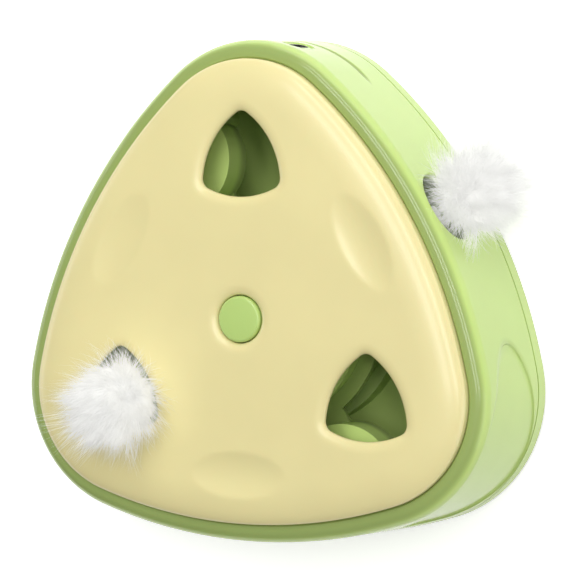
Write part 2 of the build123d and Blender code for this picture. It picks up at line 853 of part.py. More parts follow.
def make_rotor_plate():
    """Plate on the drum with two teaser arms and, between them, two wings whose raised ends are hollow."""
    wing_angles = (face_teaser_angle + 90, face_teaser_angle - 90)
    plate = Circle(drum_radius + rotor_ring_width)
    plate += arm_face(hole_circle + face_arm_tip, face_teaser_angle)
    plate += arm_face(side_socket_end() + side_arm_tip, side_teaser_angle)
    for angle in wing_angles:
        plate += arm_face(wing_middle - wing_radius + arm_width / 2, angle)
    plate -= Circle(drum_radius)
    for angle in rotor_screw_angles():
        plate -= at_polar(rotor_screw_circle, angle) * Circle(small_screw_radius + screw_clearance)
    rotor = extrude(plate, rotor_thickness)
    wing = extrude(wing_face(0), rotor_thickness + wing_lift) - extrude(wing_face(drum_wall), wing_lift)
    for angle in wing_angles:
        rotor += Rot(0, 0, angle) * wing
    return Pos(0, 0, rotor_height) * rotor


def make_rotor_screws():
    """Small screws through the rotor plate into the drum's bosses."""
    length = rotor_thickness + rotor_screw_grip
    screw = Rot(180, 0, 0) * upright_screw(small_screw_radius, length, small_head_radius, small_head_height)
    places = [at_polar(rotor_screw_circle, angle, rotor_top) for angle in rotor_screw_angles()]
    return Part() + [place * screw for place in places]


def stem_rod(length):
    """Soft stem from its seat in the socket to the fur, with a collar under the fur."""
    return rod(socket_bore, 0, length) + rod(stem_collar_radius, length - stem_collar_height, length)


def teaser_ball(radius, lift, lean):
    """Fur ball flattened towards the shell, on a neck, with the ball's middle leaning off the neck."""
    underside = neck_length + lift
    ball = Pos(lean.X, lean.Y, underside + radius * ball_sit_share) * Sphere(radius)
    align = (Align.CENTER, Align.CENTER, Align.MAX)
    ball -= Pos(lean.X, lean.Y, underside) * Box(2 * radius, 2 * radius, 2 * radius, align=align)
    return ball + rod(neck_radius, 0, underside + radius * ball_sit_share)


def make_face_socket():
    """Upright holder of the face teaser on its arm."""
    post = rod(socket_radius, rotor_top, face_socket_top())
    post = chamfer(post.edges().group_by(Axis.Z)[-1], socket_taper)
    post -= rod(socket_bore, face_socket_top() - stem_seat, face_socket_top() + overrun)
    return at_polar(hole_circle, face_teaser_angle) * post


def make_face_stem():
    """Soft stem of the face teaser."""
    foot = face_socket_top() - stem_seat
    return at_polar(hole_circle, face_teaser_angle, foot) * stem_rod(face_neck_foot() - foot)


def make_face_pompom():
    """Fur of the face teaser, leaning towards the front of the body."""
    ball = teaser_ball(face_ball_radius, face_ball_lift, Vector(0, -ball_lean))
    return at_polar(hole_circle, face_teaser_angle, face_neck_foot()) * ball


def side_teaser_plane(radius):
    """Plane across the side teaser's axis at a radius: z outwards, y up."""
    return radial_plane(radius, side_teaser_angle, opening_height)


def make_side_socket():
    """Lying holder of the side teaser on a pedestal on its arm."""
    holder = Cylinder(socket_radius, side_socket_length, align=UP)
    holder = chamfer(holder.edges().group_by(Axis.Z)[-1], socket_taper)
    foot_length = side_socket_length - socket_taper
    holder += Box(pedestal_width, side_socket_lift, foot_length, align=(Align.CENTER, Align.MAX, Align.MIN))
    holder -= rod(socket_bore, side_socket_length - stem_seat, side_socket_length + overrun)
    return side_teaser_plane(side_socket_end() - side_socket_length) * holder


def make_side_stem():
    """Soft stem of the side teaser."""
    foot = side_socket_end() - stem_seat
    return side_teaser_plane(foot) * stem_rod(side_neck_foot() - foot)


def make_side_pompom():
    """Fur of the side teaser, leaning towards the front of the body."""
    lean = Vector(-ball_lean * cos(radians(side_teaser_angle)), 0)
    return side_teaser_plane(side_neck_foot()) * teaser_ball(side_ball_radius, side_ball_lift, lean)


# Drive

def make_drive_pinion():
    """Pinion on the motor's shaft, in mesh with the ring."""
    face = gear_face(pinion_teeth, pinion_pitch + addendum, pinion_pitch - dedendum, backlash)
    pinion = extrude(face, gear_width) - rod(shaft_radius, -overrun, gear_width + overrun)
    return motor_place(pinion_foot) * pinion


def make_motor_shaft():
    """Output shaft from the gearbox down through the shelf and the pinion."""
    foot = pinion_foot - shaft_tip
    return motor_place(foot) * rod(shaft_radius, 0, shelf_top + shaft_insert - foot)


PIECES = {
    "base_shell": make_base_shell,
    "upper_housing": make_upper_housing,
    "top_cover": make_top_cover,
    "rubber_feet": make_rubber_feet,
    "housing_screws": make_housing_screws,
    "cover_screws": make_cover_screws,
    "pod_screws": make_pod_screws,
    "centre_pod": make_centre_pod,
    "thrust_washer": make_thrust_washer,
    "retaining_ring": make_retaining_ring,
    "battery": make_battery,
    "gearbox": make_gearbox,
    "motor_can": make_motor_can,
    "motor_bracket": make_motor_bracket,
    "bracket_screws": make_bracket_screws,
    "control_board": make_control_board,
    "board_screws": make_board_screws,
    "tact_switch": make_tact_switch,
    "port_board": make_port_board,
    "port_screws": make_port_screws,
    "usb_socket": make_usb_socket,
    "power_button": make_power_button,
    "switch_plunger": make_switch_plunger,
    "ring_gear": make_ring_gear,
    "turret_drum": make_turret_drum,
    "rotor_plate": make_rotor_plate,
    "rotor_screws": make_rotor_screws,
    "face_socket": make_face_socket,
    "face_stem": make_face_stem,
    "face_pompom": make_face_pompom,
    "side_socket": make_side_socket,
    "side_stem": make_side_stem,
    "side_pompom": make_side_pompom,
    "drive_pinion": make_drive_pinion,
    "motor_shaft": make_motor_shaft,
}

os.makedirs("parts", exist_ok=True)
for name, make in PIECES.items():
    export_step(make(), f"parts/{name}.step")
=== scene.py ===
"""Looks of the automatic cat toy: moulded shells, fur teasers, finishes and a studio stage."""

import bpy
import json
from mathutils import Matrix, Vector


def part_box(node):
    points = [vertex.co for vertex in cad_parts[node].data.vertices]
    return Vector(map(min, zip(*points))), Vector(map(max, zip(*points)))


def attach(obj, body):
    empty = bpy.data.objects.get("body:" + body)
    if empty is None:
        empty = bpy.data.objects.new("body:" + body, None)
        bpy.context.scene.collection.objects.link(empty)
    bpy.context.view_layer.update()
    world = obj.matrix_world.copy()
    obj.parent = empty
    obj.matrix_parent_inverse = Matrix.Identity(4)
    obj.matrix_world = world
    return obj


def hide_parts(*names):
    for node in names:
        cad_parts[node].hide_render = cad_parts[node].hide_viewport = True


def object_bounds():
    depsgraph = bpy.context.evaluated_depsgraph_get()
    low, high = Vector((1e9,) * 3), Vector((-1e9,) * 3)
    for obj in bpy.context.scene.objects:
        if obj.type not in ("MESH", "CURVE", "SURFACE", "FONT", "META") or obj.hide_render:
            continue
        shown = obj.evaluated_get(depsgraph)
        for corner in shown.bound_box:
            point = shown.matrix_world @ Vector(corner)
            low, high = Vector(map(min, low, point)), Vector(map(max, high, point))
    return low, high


bl_info = {
    "name": "Cat Toy Looks",
    "version": (1, 0, 0),
    "blender": (4, 5, 0),
    "location": "View3D > Sidebar > Cat Toy",
    "description": "Dresses the cat toy's parts with moulded shells, fur, finishes and a stage",
    "category": "Object",
}

import json
from math import atan2, cos, pi, radians, sin, sqrt

import bmesh
import bpy
import numpy as np
from bpy.props import FloatProperty, FloatVectorProperty, IntProperty, PointerProperty
from bpy.types import Operator, Panel, PropertyGroup
from mathutils import Matrix, Vector

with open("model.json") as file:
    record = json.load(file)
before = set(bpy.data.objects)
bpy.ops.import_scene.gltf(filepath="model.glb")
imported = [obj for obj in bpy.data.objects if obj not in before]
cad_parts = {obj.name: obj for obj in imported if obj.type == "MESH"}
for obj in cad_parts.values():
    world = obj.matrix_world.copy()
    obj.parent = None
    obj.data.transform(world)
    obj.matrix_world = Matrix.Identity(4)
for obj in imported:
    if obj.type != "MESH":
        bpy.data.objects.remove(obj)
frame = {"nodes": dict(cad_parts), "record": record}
CAD_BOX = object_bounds()
HOUSING_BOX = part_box("upper_housing")
COVER_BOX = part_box("top_cover")
BUTTON_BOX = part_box("power_button")
ROTOR_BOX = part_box("rotor_plate")

FULL_TURN = 2 * pi
THIRD = FULL_TURN / 3
CORNERS = tuple(radians(angle) for angle in (90, 210, 330))
SIDES = tuple(radians(angle) for angle in (30, 150, 270))


# Kinds of property

def length(name, default, description):
    """A length that a user can change, in metres."""
    return FloatProperty(name=name, description=description, default=default, unit="LENGTH", precision=5)


def shift(name, default, description):
    """A shift in space, in metres."""
    return FloatVectorProperty(name=name, description=description, default=default, unit="LENGTH")


def direction(name, default, description):
    """A direction in space."""
    return FloatVectorProperty(name=name, description=description, default=default, subtype="XYZ")


def angle(name, degrees, description):
    """An angle that a user can change."""
    return FloatProperty(name=name, description=description, default=radians(degrees), subtype="ANGLE")


def share(name, default, description):
    """A share between nought and one."""
    return FloatProperty(name=name, description=description, default=default, subtype="FACTOR", min=0, max=1)


def factor(name, default, description):
    """A number that isn't a length or a share."""
    return FloatProperty(name=name, description=description, default=default, min=0)


def whole(name, default, description):
    """A whole number."""
    return IntProperty(name=name, description=description, default=default, min=1)


def colour(name, default, description):
    """A colour in linear light."""
    return FloatVectorProperty(name=name, description=description, default=default, subtype="COLOR", size=3)


# Sizes and colours

class BodySizes(PropertyGroup):
    """The body's outline and wall."""

    corner_reach: length("Corner reach", 0.0533, "From the axis to the middle of a corner's arc")
    corner_radius: length("Corner radius", 0.0392, "Radius of a corner's arc at the cover's edge")
    side_radius: length("Side radius", 0.1837, "Radius of a side's arc at the cover's edge")
    base_flare: length("Base flare", 0.0097, "How far the wall stands outside the cover's edge at the floor")
    rim_flare: length("Rim flare", 0.0067, "How far the wall stands outside the cover's edge at the rim")
    body_height: length("Body height", HOUSING_BOX[1].z, "Height of the rim")
    housing_foot: length("Housing foot", HOUSING_BOX[0].z, "Height of the parting line")
    rim_round: length("Rim round", 0.005, "Radius of the rounded rim")
    rim_plate: length("Rim plate", 0.0036, "Depth of the plate under the rim")
    ledge: length("Ledge", 0.005, "How far the cover's ledge reaches inside the cover's edge")
    wall: length("Wall", 0.0024, "Thickness of the housing's wall")
    edge_round: length("Edge round", 0.0006, "Radius of the broken edge at the parting line")
    cover_gap: length("Cover gap", 0.00015, "Gap round the cover")
    side_half: angle("Side half", 7, "Half the turn of the wall round a side opening")


class CoverSizes(PropertyGroup):
    """The cream cover."""

    seat: length("Seat", COVER_BOX[0].z, "Height of the cover's lower edge")
    face: length("Face", COVER_BOX[1].z, "Height of the face")
    wall: length("Wall", 0.0024, "Thickness of the cover")
    shoulder_width: length("Shoulder width", 0.014, "Width of the rounded shoulder")
    shoulder_rise: length("Shoulder rise", 0.0042, "Height of the rounded shoulder")
    hole_circle: length("Hole circle", 0.0566, "From the axis to the middle of a hole")
    hole_reach: length("Hole reach", 0.0134, "From a hole's middle to the middle of its corner's arc")
    hole_corner: length("Hole corner", 0.0039, "Radius of a hole's corner")
    hole_side: length("Hole side", 0.0313, "Radius of a hole's side")
    lip: length("Lip", 0.0042, "Width of the rounded lip round a hole")
    lip_drop: length("Lip drop", 0.0020, "Depth of the rounded lip")
    dimple_circle: length("Dimple circle", 0.0555, "From the axis to the middle of a dimple")
    dimple_length: length("Dimple length", 0.037, "Length of a dimple along the edge")
    dimple_width: length("Dimple width", 0.0166, "Width of a dimple")
    dimple_depth: length("Dimple depth", 0.0013, "Depth of a dimple")
    dimple_edge: factor("Dimple edge", 18, "Sharpness of a dimple's edge")
    button_hole: length("Button hole", 0.00865, "Radius of the button's hole")
    sleeve_wall: length("Sleeve wall", 0.0018, "Wall of the button's sleeve")
    sleeve_length: length("Sleeve length", 0.0042, "Length of the sleeve under the cover")


class WallSizes(PropertyGroup):
    """What is cut into the housing's wall."""

    opening_radius: length("Opening radius", 0.0129, "Radius of a side opening")
    opening_height: length("Opening height", 0.0341, "Height of a side opening's middle")
    opening_lip: length("Opening lip", 0.0009, "Radius of a side opening's rounded lip")
    panel_length: length("Panel length", 0.077, "Length of a corner's oval panel")
    panel_height: length("Panel height", 0.0396, "Height of a corner's oval panel")
    panel_middle: length("Panel middle", 0.0277, "Height of an oval panel's middle")
    panel_depth: length("Panel depth", 0.0007, "Depth of an oval panel")
    panel_edge: length("Panel edge", 0.0003, "Half the width of an oval panel's rounded edge")
    # Painted shade: a panel's edge line is darkened as the shade in its step.
    panel_painted_line: share("Panel line", 0.25, "How dark an oval panel's edge is beside the groove")
    port_turn: angle("Port turn", 17, "Turn of the charging port about the top corner")
    port_height: length("Port height", 0.0374, "Height of the charging port")
    port_length: length("Port length", 0.015, "Length of the port's recess")
    port_width: length("Port width", 0.009, "Width of the port's recess")
    port_depth: length("Port depth", 0.0005, "Depth of the port's recess")
    port_edge: length("Port edge", 0.00015, "Half the width of the recess's rounded edge")
    slot_length: length("Slot length", 0.0092, "Length of the socket's slot")
    slot_width: length("Slot width", 0.0035, "Width of the socket's slot")
    bezel_width: length("Bezel width", 0.0006, "Width of the dark frame round the slot")
    bezel_lift: length("Bezel lift", 0.00012, "How far the frame stands off the recess's floor and the slot")
    groove_length: length("Groove length", 0.079, "Length of the groove under the port")
    groove_height: length("Groove height", 0.0221, "Height of the groove's lower edge")
    groove_rise: length("Groove rise", 0.0034, "How far the groove's ends rise")
    groove_corner: length("Groove corner", 0.007, "Radius of the groove's bends")
    groove_width: length("Groove width", 0.0042, "Width of the groove")
    groove_depth: length("Groove depth", 0.0014, "Depth of the groove")


class ButtonSizes(PropertyGroup):
    """The power button."""

    radius: length("Radius", 0.0083, "Radius of the cap")
    crown: length("Crown", 0.0003, "How far the cap's top is domed")
    edge: length("Edge", 0.0012, "Radius of the cap's rounded edge")
    flange: length("Flange", 0.0017, "Width of the flange under the cover")
    flange_thickness: length("Flange thickness", 0.0012, "Thickness of the flange")
    nib_radius: length("Nib radius", 0.0024, "Radius of the nib on the switch")
    nib_length: length("Nib length", 0.00055, "How far the nib stands below the flange")


class FurSizes(PropertyGroup):
    """The teasers' fur and stems."""

    seed: whole("Seed", 7, "Start of the random draws")
    tufts: whole("Tufts", 150, "Tufts on one teaser")
    layers: whole("Layers", 3, "Pieces of fur on one teaser")
    strands: whole("Strands", 7000, "Strands in one piece of fur")
    core_radius: length("Core radius", 0.0070, "Radius of the pad that the strands grow from")
    strand_length: length("Strand length", 0.0110, "Middle length of a strand")
    strand_radius: length("Strand radius", 0.00008, "Radius of a strand at its root")
    droop: length("Droop", 0.0060, "How far the strands flow to the side that the fur is combed to")
    gather: share("Gather", 0.74, "How far strands lean to their tuft's tip")
    stray: share("Stray", 0.17, "Share of strands that stand out singly")
    curl: share("Curl", 0.42, "How far a tuft bends aside, in strand lengths")
    unevenness: share("Unevenness", 0.30, "How much the fur's outline swells and dips")
    face_shift: shift("Face shift", (0.0074, 0.0046, -0.001), "From the face teaser's stem to its fur")
    side_shift: shift("Side shift", (-0.0034, 0.0018, -0.001), "From the side teaser's stem to its fur")
    face_comb: direction("Face comb", (-0.78, -0.62, 0.1), "Where the face teaser's fur is combed to")
    side_comb: direction("Side comb", (0.85, 0.35, 0.25), "Where the side teaser's fur is combed to")
    stem_radius: length("Stem radius", 0.0016, "Radius of a soft stem")
    stem_collar: length("Stem collar", 0.003, "Radius of a stem's collar under the fur")


class Finishes(PropertyGroup):
    """Colours in linear light, and the painted shade, light and glow laid on them."""

    cream: colour("Cream", (0.835, 0.745, 0.370), "Face plate")
    green: colour("Green", (0.540, 0.705, 0.215), "Shells")
    button: colour("Button", (0.500, 0.680, 0.205), "Power button")
    inside: colour("Inside", (0.480, 0.640, 0.200), "Turret and pod")
    white: colour("White", (0.78, 0.78, 0.75), "Motor bracket and pinion")
    black: colour("Black", (0.02, 0.02, 0.02), "Switch and plunger")
    # The frame is partly a black insert and partly painted shade of the deep slot.
    bezel: colour("Bezel", (0.012, 0.010, 0.010), "Frame round the charging slot")
    board: colour("Board", (0.01, 0.08, 0.03), "Circuit boards")
    cell: colour("Cell", (0.08, 0.22, 0.42), "Wrap of the cell")
    steel: colour("Steel", (0.58, 0.58, 0.59), "Screws, shaft and motor can")
    brass: colour("Brass", (0.72, 0.55, 0.25), "Gearbox")
    # Painted shade: the socket is near black to stand in for the shade deep in the slot.
    socket: colour("Socket", (0.03, 0.025, 0.025), "Charging socket")
    rubber: colour("Rubber", (0.20, 0.20, 0.20), "Feet")
    stem: colour("Stem", (0.70, 0.70, 0.68), "Soft stems")
    fur: colour("Fur", (0.965, 0.965, 0.955), "Fur strands")
    # Painted glow: the fur glows faintly in place of light passed on from strand to strand.
    fur_glow: share("Fur glow", 0.33, "Light passed on from strand to strand")
    housing_gleam: share("Housing gleam", 0.42, "Strength of the housing's reflections")
    shell_scatter: share("Shell scatter", 0.05, "Light scattered inside the outer shells")
    # Painted shade: the rim's band is darkened towards its top, standing in for the shade beside the cover's
    # edge.
    band_painted_shade: share("Band shade", 0.61, "Lightness of the rim's band beside the wall's")
    band_start: share("Band start", 0.42, "Where the band's shade starts below the rim's top, in rim rounds")
    band_stop: share("Band stop", 0.06, "Where the band's shade is whole below the rim's top, in rim rounds")
    # Painted shade in the groove, at panel edges and at the parting line, where shade falls in the creases.
    cavity_painted_shade: share("Cavity shade", 0.32, "Lightness of the grooves and recess edges beside the wall's")
    # Painted shade along the base's lowest edge, standing in for the shade near the floor.
    foot_painted_shade: share("Foot shade", 0.5, "Lightness of the base's lowest edge beside the wall's")
    foot_start: length("Foot start", 0.0035, "Height above the floor at which the base's shade starts")
    foot_stop: length("Foot stop", 0.0012, "Height above the floor at which the base's shade is whole")
    # Painted shade on the turret's low plate, darker the lower it lies.
    deep_painted_shade: share("Deep shade", 0.55, "Lightness of the turret's low plate beside its raised ends")
    deep_start: share("Deep start", 0.5, "Where the low plate's shade starts, in the rotor plate's height")
    deep_stop: share("Deep stop", 0.1, "Where the low plate's shade is whole, in the rotor plate's height")


class StageSizes(PropertyGroup):
    """Camera, floor and world."""

    yaw: angle("Yaw", 26.179, "Turn of the view about the body's +Y axis")
    pitch: angle("Pitch", 1.991, "Tilt of the view")
    roll: angle("Roll", -0.209, "Roll of the view")
    across: length("Across", 0.016411, "Camera's place along the image's width")
    upwards: length("Upwards", 0.010242, "Camera's place along the image's height")
    distance: length("Distance", 0.83446, "Camera's distance from the face's plane")
    aim_height: length("Aim height", 0.0531, "Height of the point that the view turns about")
    lens: factor("Lens", 145.4, "Focal length in millimetres")
    sensor: factor("Sensor", 36, "Width of the camera's sensor in millimetres")
    sight: length("Sight", 50, "How far the camera sees")
    floor_half: length("Floor half", 6, "Half the floor's width")
    floor_grey: share("Floor grey", 0.93, "Lightness of the floor")
    glow_near: length("Glow near", 0.3, "Distance up to which the floor glows least")
    glow_far: length("Glow far", 1.4, "Distance from which the floor glows most")
    least_glow: share("Least glow", 0.5, "The floor's glow near the object")
    bright_side: direction("Bright side", (0.5, 0.75, 0.25), "Where most of the world's light comes from")
    world_dim: share("World dim", 0.09, "Light from the world's dark side")
    world_bright: share("World bright", 0.5, "Light from the world's bright side")


# Outlines, each a function of the angle of its outward normal

TURN_TABLE = 8641
RUN_TABLE = 2000
SLOT_SHARPNESS = 25


def rounded_triangle(reach, corner, side):
    """Outline of six tangent arcs.

    With c the nearest corner's direction and h = atan2(away * sqrt(3) / 2, reach + away / 2), the normal at
    angle t belongs to the corner's arc if |t - c| <= h, and to a side's arc otherwise:
    point = centre + (radius + grow) * (cos t, sin t).
    """
    away = sqrt((side - corner) ** 2 - 3 * reach ** 2 / 4) - reach / 2
    half = atan2(away * sqrt(3) / 2, reach + away / 2)

    def points(turn, grow=0.0):
        nearest = np.round((turn - CORNERS[0]) / THIRD) * THIRD + CORNERS[0]
        offset = turn - nearest
        on_corner = np.abs(offset) <= half
        side_middle = nearest + np.where(offset < 0, -THIRD / 2, THIRD / 2)
        towards = np.where(on_corner, nearest, side_middle + pi)
        centre = np.where(on_corner, reach, away)
        radius = np.where(on_corner, corner, side) + grow
        across = centre * np.cos(towards) + radius * np.cos(turn)
        return across, centre * np.sin(towards) + radius * np.sin(turn), radius

    return points


def ellipse(half_width, half_height):
    """Ellipse by its normal's angle t: (a a cos t, b b sin t) / hypot(a cos t, b sin t)."""

    def points(turn, grow=0.0):
        size = np.hypot(half_width * np.cos(turn), half_height * np.sin(turn))
        across = (half_width ** 2 / size + grow) * np.cos(turn)
        return across, (half_height ** 2 / size + grow) * np.sin(turn)

    return points


def capsule(half_width, half_height):
    """Upright slot: a circle whose halves are drawn apart, by straight * tanh(sharpness * sin t)."""

    def points(turn, grow=0.0):
        straight = half_height - half_width
        across = (half_width + grow) * np.cos(turn)
        upwards = (half_width + grow) * np.sin(turn)
        return across, upwards + straight * np.tanh(SLOT_SHARPNESS * np.sin(turn))

    return points


def turn_towards(curve, towards):
    """Normal's angle at the point of a curve that lies in a direction from its middle, from a fine table."""
    turn = np.linspace(-FULL_TURN, 2 * FULL_TURN, TURN_TABLE)
    across, upwards = curve(turn)[:2]
    seen = turn + (np.arctan2(upwards, across) - turn + pi) % FULL_TURN - pi
    return np.interp(towards % FULL_TURN, seen, turn)


def even_turns(curve, middle, half, count):
    """Normal angles to both sides of a middle, at even steps of length along a curve."""
    turn = np.linspace(middle - half, middle + half, RUN_TABLE)
    across, upwards = curve(turn)[:2]
    steps = np.hypot(np.diff(across), np.diff(upwards))
    run = np.concatenate([[0], np.cumsum(steps)])
    return np.interp(np.linspace(0, run[-1], count), run, turn)


def quarter(count):
    """Angles of the steps of a quarter turn."""
    return np.linspace(0, pi / 2, count)


def full_circle(count):
    """Angles of the steps of a full turn, without its end."""
    return np.linspace(0, FULL_TURN, count + 1)[:-1]


def rows_between(start, stop, count):
    """Rows in even steps from one array to another: start + (stop - start) * part."""
    return start + (stop - start) * np.linspace(0, 1, count)[:, None]


def spread(*arrays):
    """Points from three coordinate arrays of any matching shapes."""
    return np.stack(np.broadcast_arrays(*arrays), axis=-1)


# Meshes

WELD_REACH = 0.000002
SHARP_TURN = radians(38)


class Shell:
    """Gathers grids of points and welds them into one mesh."""

    def __init__(self):
        self.points = []
        self.faces = []
        self.count = 0

    def grid(self, points, closed=False):
        """Adds a grid of rows and columns. A closed one joins its last column to its first."""
        rows, columns = points.shape[:2]
        index = np.arange(rows * columns).reshape(rows, columns) + self.count
        if closed:
            index = np.hstack([index, index[:, :1]])
        corners = (index[:-1, :-1], index[:-1, 1:], index[1:, 1:], index[1:, :-1])
        self.points.append(points.reshape(-1, 3))
        self.faces.append(np.stack(corners, axis=-1).reshape(-1, 4))
        self.count += rows * columns

    def build(self, name):
        """Welds the grids, turns the faces outwards and marks the sharp edges."""
        mesh = mesh_of(name, np.concatenate(self.points), np.concatenate(self.faces))
        weld = bmesh.new()
        weld.from_mesh(mesh)
        bmesh.ops.remove_doubles(weld, verts=weld.verts, dist=WELD_REACH)
        bmesh.ops.recalc_face_normals(weld, faces=weld.faces)
        weld.to_mesh(mesh)
        weld.free()
        made = smooth_piece(name, mesh)
        mesh.set_sharp_from_angle(angle=SHARP_TURN)
        return made


def one_grid(name, points, closed=True):
    """Piece made of a single grid."""
    shell = Shell()
    shell.grid(points, closed)
    return shell.build(name)


def mesh_of(name, points, faces):
    """Mesh from arrays of points and of faces with the same number of corners each."""
    mesh = bpy.data.meshes.new(name)
    mesh.vertices.add(len(points))
    mesh.vertices.foreach_set("co", np.ascontiguousarray(points, np.float32).ravel())
    mesh.loops.add(faces.size)
    mesh.loops.foreach_set("vertex_index", np.ascontiguousarray(faces, np.int32).ravel())
    mesh.polygons.add(len(faces))
    mesh.polygons.foreach_set("loop_start", np.arange(0, faces.size, faces.shape[1], dtype=np.int32))
    mesh.update(calc_edges=True)
    return mesh


def smooth_piece(name, mesh):
    """Shades a mesh smooth and links it as an object at the origin."""
    mesh.polygons.foreach_set("use_smooth", np.ones(len(mesh.polygons), bool))
    made = bpy.data.objects.new(name, mesh)
    bpy.context.scene.collection.objects.link(made)
    return made


def dress(made, body, slot, material, *nodes):
    """Gives a piece its finish and its place in the mechanism, and lets it stand for CAD nodes."""
    made.data.materials.append(material)
    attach(made, body)
    if nodes:
        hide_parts(*nodes)


# Cover

EDGE_COLUMNS = 170
SPOKE_COLUMNS = 48
BUTTON_LIP_COLUMNS = 40
FACE_RINGS = 52
UNDER_RINGS = 5
SHOULDER_ROWS = 26
LIP_ROWS = 9
DIMPLE_LIMIT = 9


def dimple_depths(sizes, across, upwards):
    """Depth of the dimples at points of the face.

    Each dimple takes depth * log(1 + exp(k * (1 - p p))) / k away, where p p is the sum of the squares of the
    distances along and across it in its half sizes, held at a limit, and k its edge's sharpness.
    """
    sunk = np.zeros(np.shape(across))
    for side in SIDES:
        outwards = across * cos(side) + upwards * sin(side) - sizes.dimple_circle
        along = upwards * cos(side) - across * sin(side)
        reach = (2 * outwards / sizes.dimple_width) ** 2 + (2 * along / sizes.dimple_length) ** 2
        level = sizes.dimple_edge * (1 - np.minimum(reach, DIMPLE_LIMIT))
        sunk = sunk + sizes.dimple_depth * np.log1p(np.exp(level)) / sizes.dimple_edge
    return sunk


def shoulder_rows(sizes):
    """Shoulder from the face's edge outwards and down: quarter ellipse, upright side, and back inside.

    The third array is one on the outer quarter ellipse, where the dimples reach, and nought elsewhere.
    """
    turn = quarter(SHOULDER_ROWS)[::-1]
    start = sizes.face - sizes.shoulder_rise
    grow = -sizes.shoulder_width * (1 - np.cos(turn))
    height = start + sizes.shoulder_rise * np.sin(turn)
    inner_grow = -sizes.wall - (sizes.shoulder_width - sizes.wall) * (1 - np.cos(turn[::-1]))
    inner_height = start - sizes.wall + sizes.shoulder_rise * np.sin(turn[::-1])
    grow = np.concatenate([grow, [0], [-sizes.wall], inner_grow])
    height = np.concatenate([height, [sizes.seat], [sizes.seat], inner_height])
    outside = np.arange(len(height)) < SHOULDER_ROWS
    return grow[:, None], height[:, None], outside[:, None]


def lip_rows(sizes):
    """Rounded lip: quarter ellipse from its outer edge on the face down to a hole's wall."""
    turn = quarter(LIP_ROWS)
    grow = sizes.lip * (1 - np.sin(turn))
    height = sizes.face - sizes.lip_drop * (1 - np.cos(turn))
    return grow[:, None], height[:, None]


def cover_shell(body, sizes):
    """Cover of three sectors, each a grid of rays from a hole's lip out to the sector's border.

    The border runs along the shoulder's inner edge, in along a radius, round the button's lip and out again.
    Point = hole + (border - hole) * part, with the border's point in the same direction as the hole's.
    """
    shell = Shell()
    edge = rounded_triangle(body.corner_reach, body.corner_radius, body.side_radius)
    hole = rounded_triangle(sizes.hole_reach, sizes.hole_corner, sizes.hole_side)
    under = sizes.face - sizes.wall
    button_edge = sizes.button_hole + sizes.lip
    lip_grow, lip_height = lip_rows(sizes)

    def inner_edge(turn):
        return edge(turn, -sizes.shoulder_width)

    for corner in CORNERS:
        turn = even_turns(inner_edge, corner, THIRD / 2, EDGE_COLUMNS)
        outer_x, outer_y, _ = inner_edge(turn)
        spoke = np.linspace(np.hypot(outer_x[0], outer_y[0]), button_edge, SPOKE_COLUMNS + 2)[1:-1]
        around = np.linspace(corner + THIRD / 2, corner - THIRD / 2, BUTTON_LIP_COLUMNS)
        towards = np.concatenate([
            np.full(SPOKE_COLUMNS, around[0]), around, np.full(SPOKE_COLUMNS, around[-1]),
        ])
        reach = np.concatenate([spoke, np.full(BUTTON_LIP_COLUMNS, button_edge), spoke[::-1]])
        border_x = np.concatenate([outer_x, reach * np.cos(towards)])
        border_y = np.concatenate([outer_y, reach * np.sin(towards)])
        middle_x = sizes.hole_circle * cos(corner)
        middle_y = sizes.hole_circle * sin(corner)
        ray = turn_towards(hole, np.arctan2(border_y - middle_y, border_x - middle_x))

        def hole_rows(grow):
            across, upwards, _ = hole(ray, grow)
            return middle_x + across, middle_y + upwards

        start_x, start_y = hole_rows(sizes.lip)
        across = rows_between(start_x, border_x, FACE_RINGS)
        upwards = rows_between(start_y, border_y, FACE_RINGS)
        shell.grid(spread(across, upwards, sizes.face - dimple_depths(sizes, across, upwards)), closed=True)

        lip_x, lip_y = hole_rows(np.vstack([lip_grow, [[0]]]))
        shell.grid(spread(lip_x, lip_y, np.vstack([lip_height, [[under]]])), closed=True)

        start_x, start_y = hole_rows(0)
        across = rows_between(start_x, border_x, UNDER_RINGS)
        upwards = rows_between(start_y, border_y, UNDER_RINGS)
        shell.grid(spread(across, upwards, under), closed=True)

        grow, height, outside = shoulder_rows(sizes)
        across, upwards, _ = edge(turn, grow)
        shell.grid(spread(across, upwards, height - outside * dimple_depths(sizes, across, upwards)))

        foot = under - sizes.sleeve_length
        outer_sleeve = sizes.button_hole + sizes.sleeve_wall
        sleeve = [[sizes.button_hole], [outer_sleeve], [outer_sleeve], [button_edge]]
        radius = np.vstack([sizes.button_hole + lip_grow, sleeve])
        height = np.vstack([lip_height, [[foot], [foot], [under], [under]]])
        shell.grid(spread(radius * np.cos(around), radius * np.sin(around), height))
    return shell.build("cream_cover")


# Housing

WIDEST_SWING = 1.4
SWING_TABLE = 2800
NEWTON_STEPS = 5
RIM_JOIN_SHARE = 0.6
LOW_ROWS = 16
GROOVE_ROWS = 32
HIGH_ROWS = 26
SIDE_COLUMNS = 44
CORNER_COLUMNS = 96
PORT_COLUMNS = 170
OPENING_RINGS = 22
OPENING_LIP_ROWS = 7
OPENING_INNER_RINGS = 6
PANEL_RINGS = 12
PANEL_EDGE_ROWS = 7
PANEL_FLOOR_RINGS = 16
PORT_RINGS = 20
PORT_EDGE_ROWS = 9
PORT_FLOOR_RINGS = 6
PORT_INNER_RINGS = 8
RIM_ROWS = 12
BEZEL_COLUMNS = 120


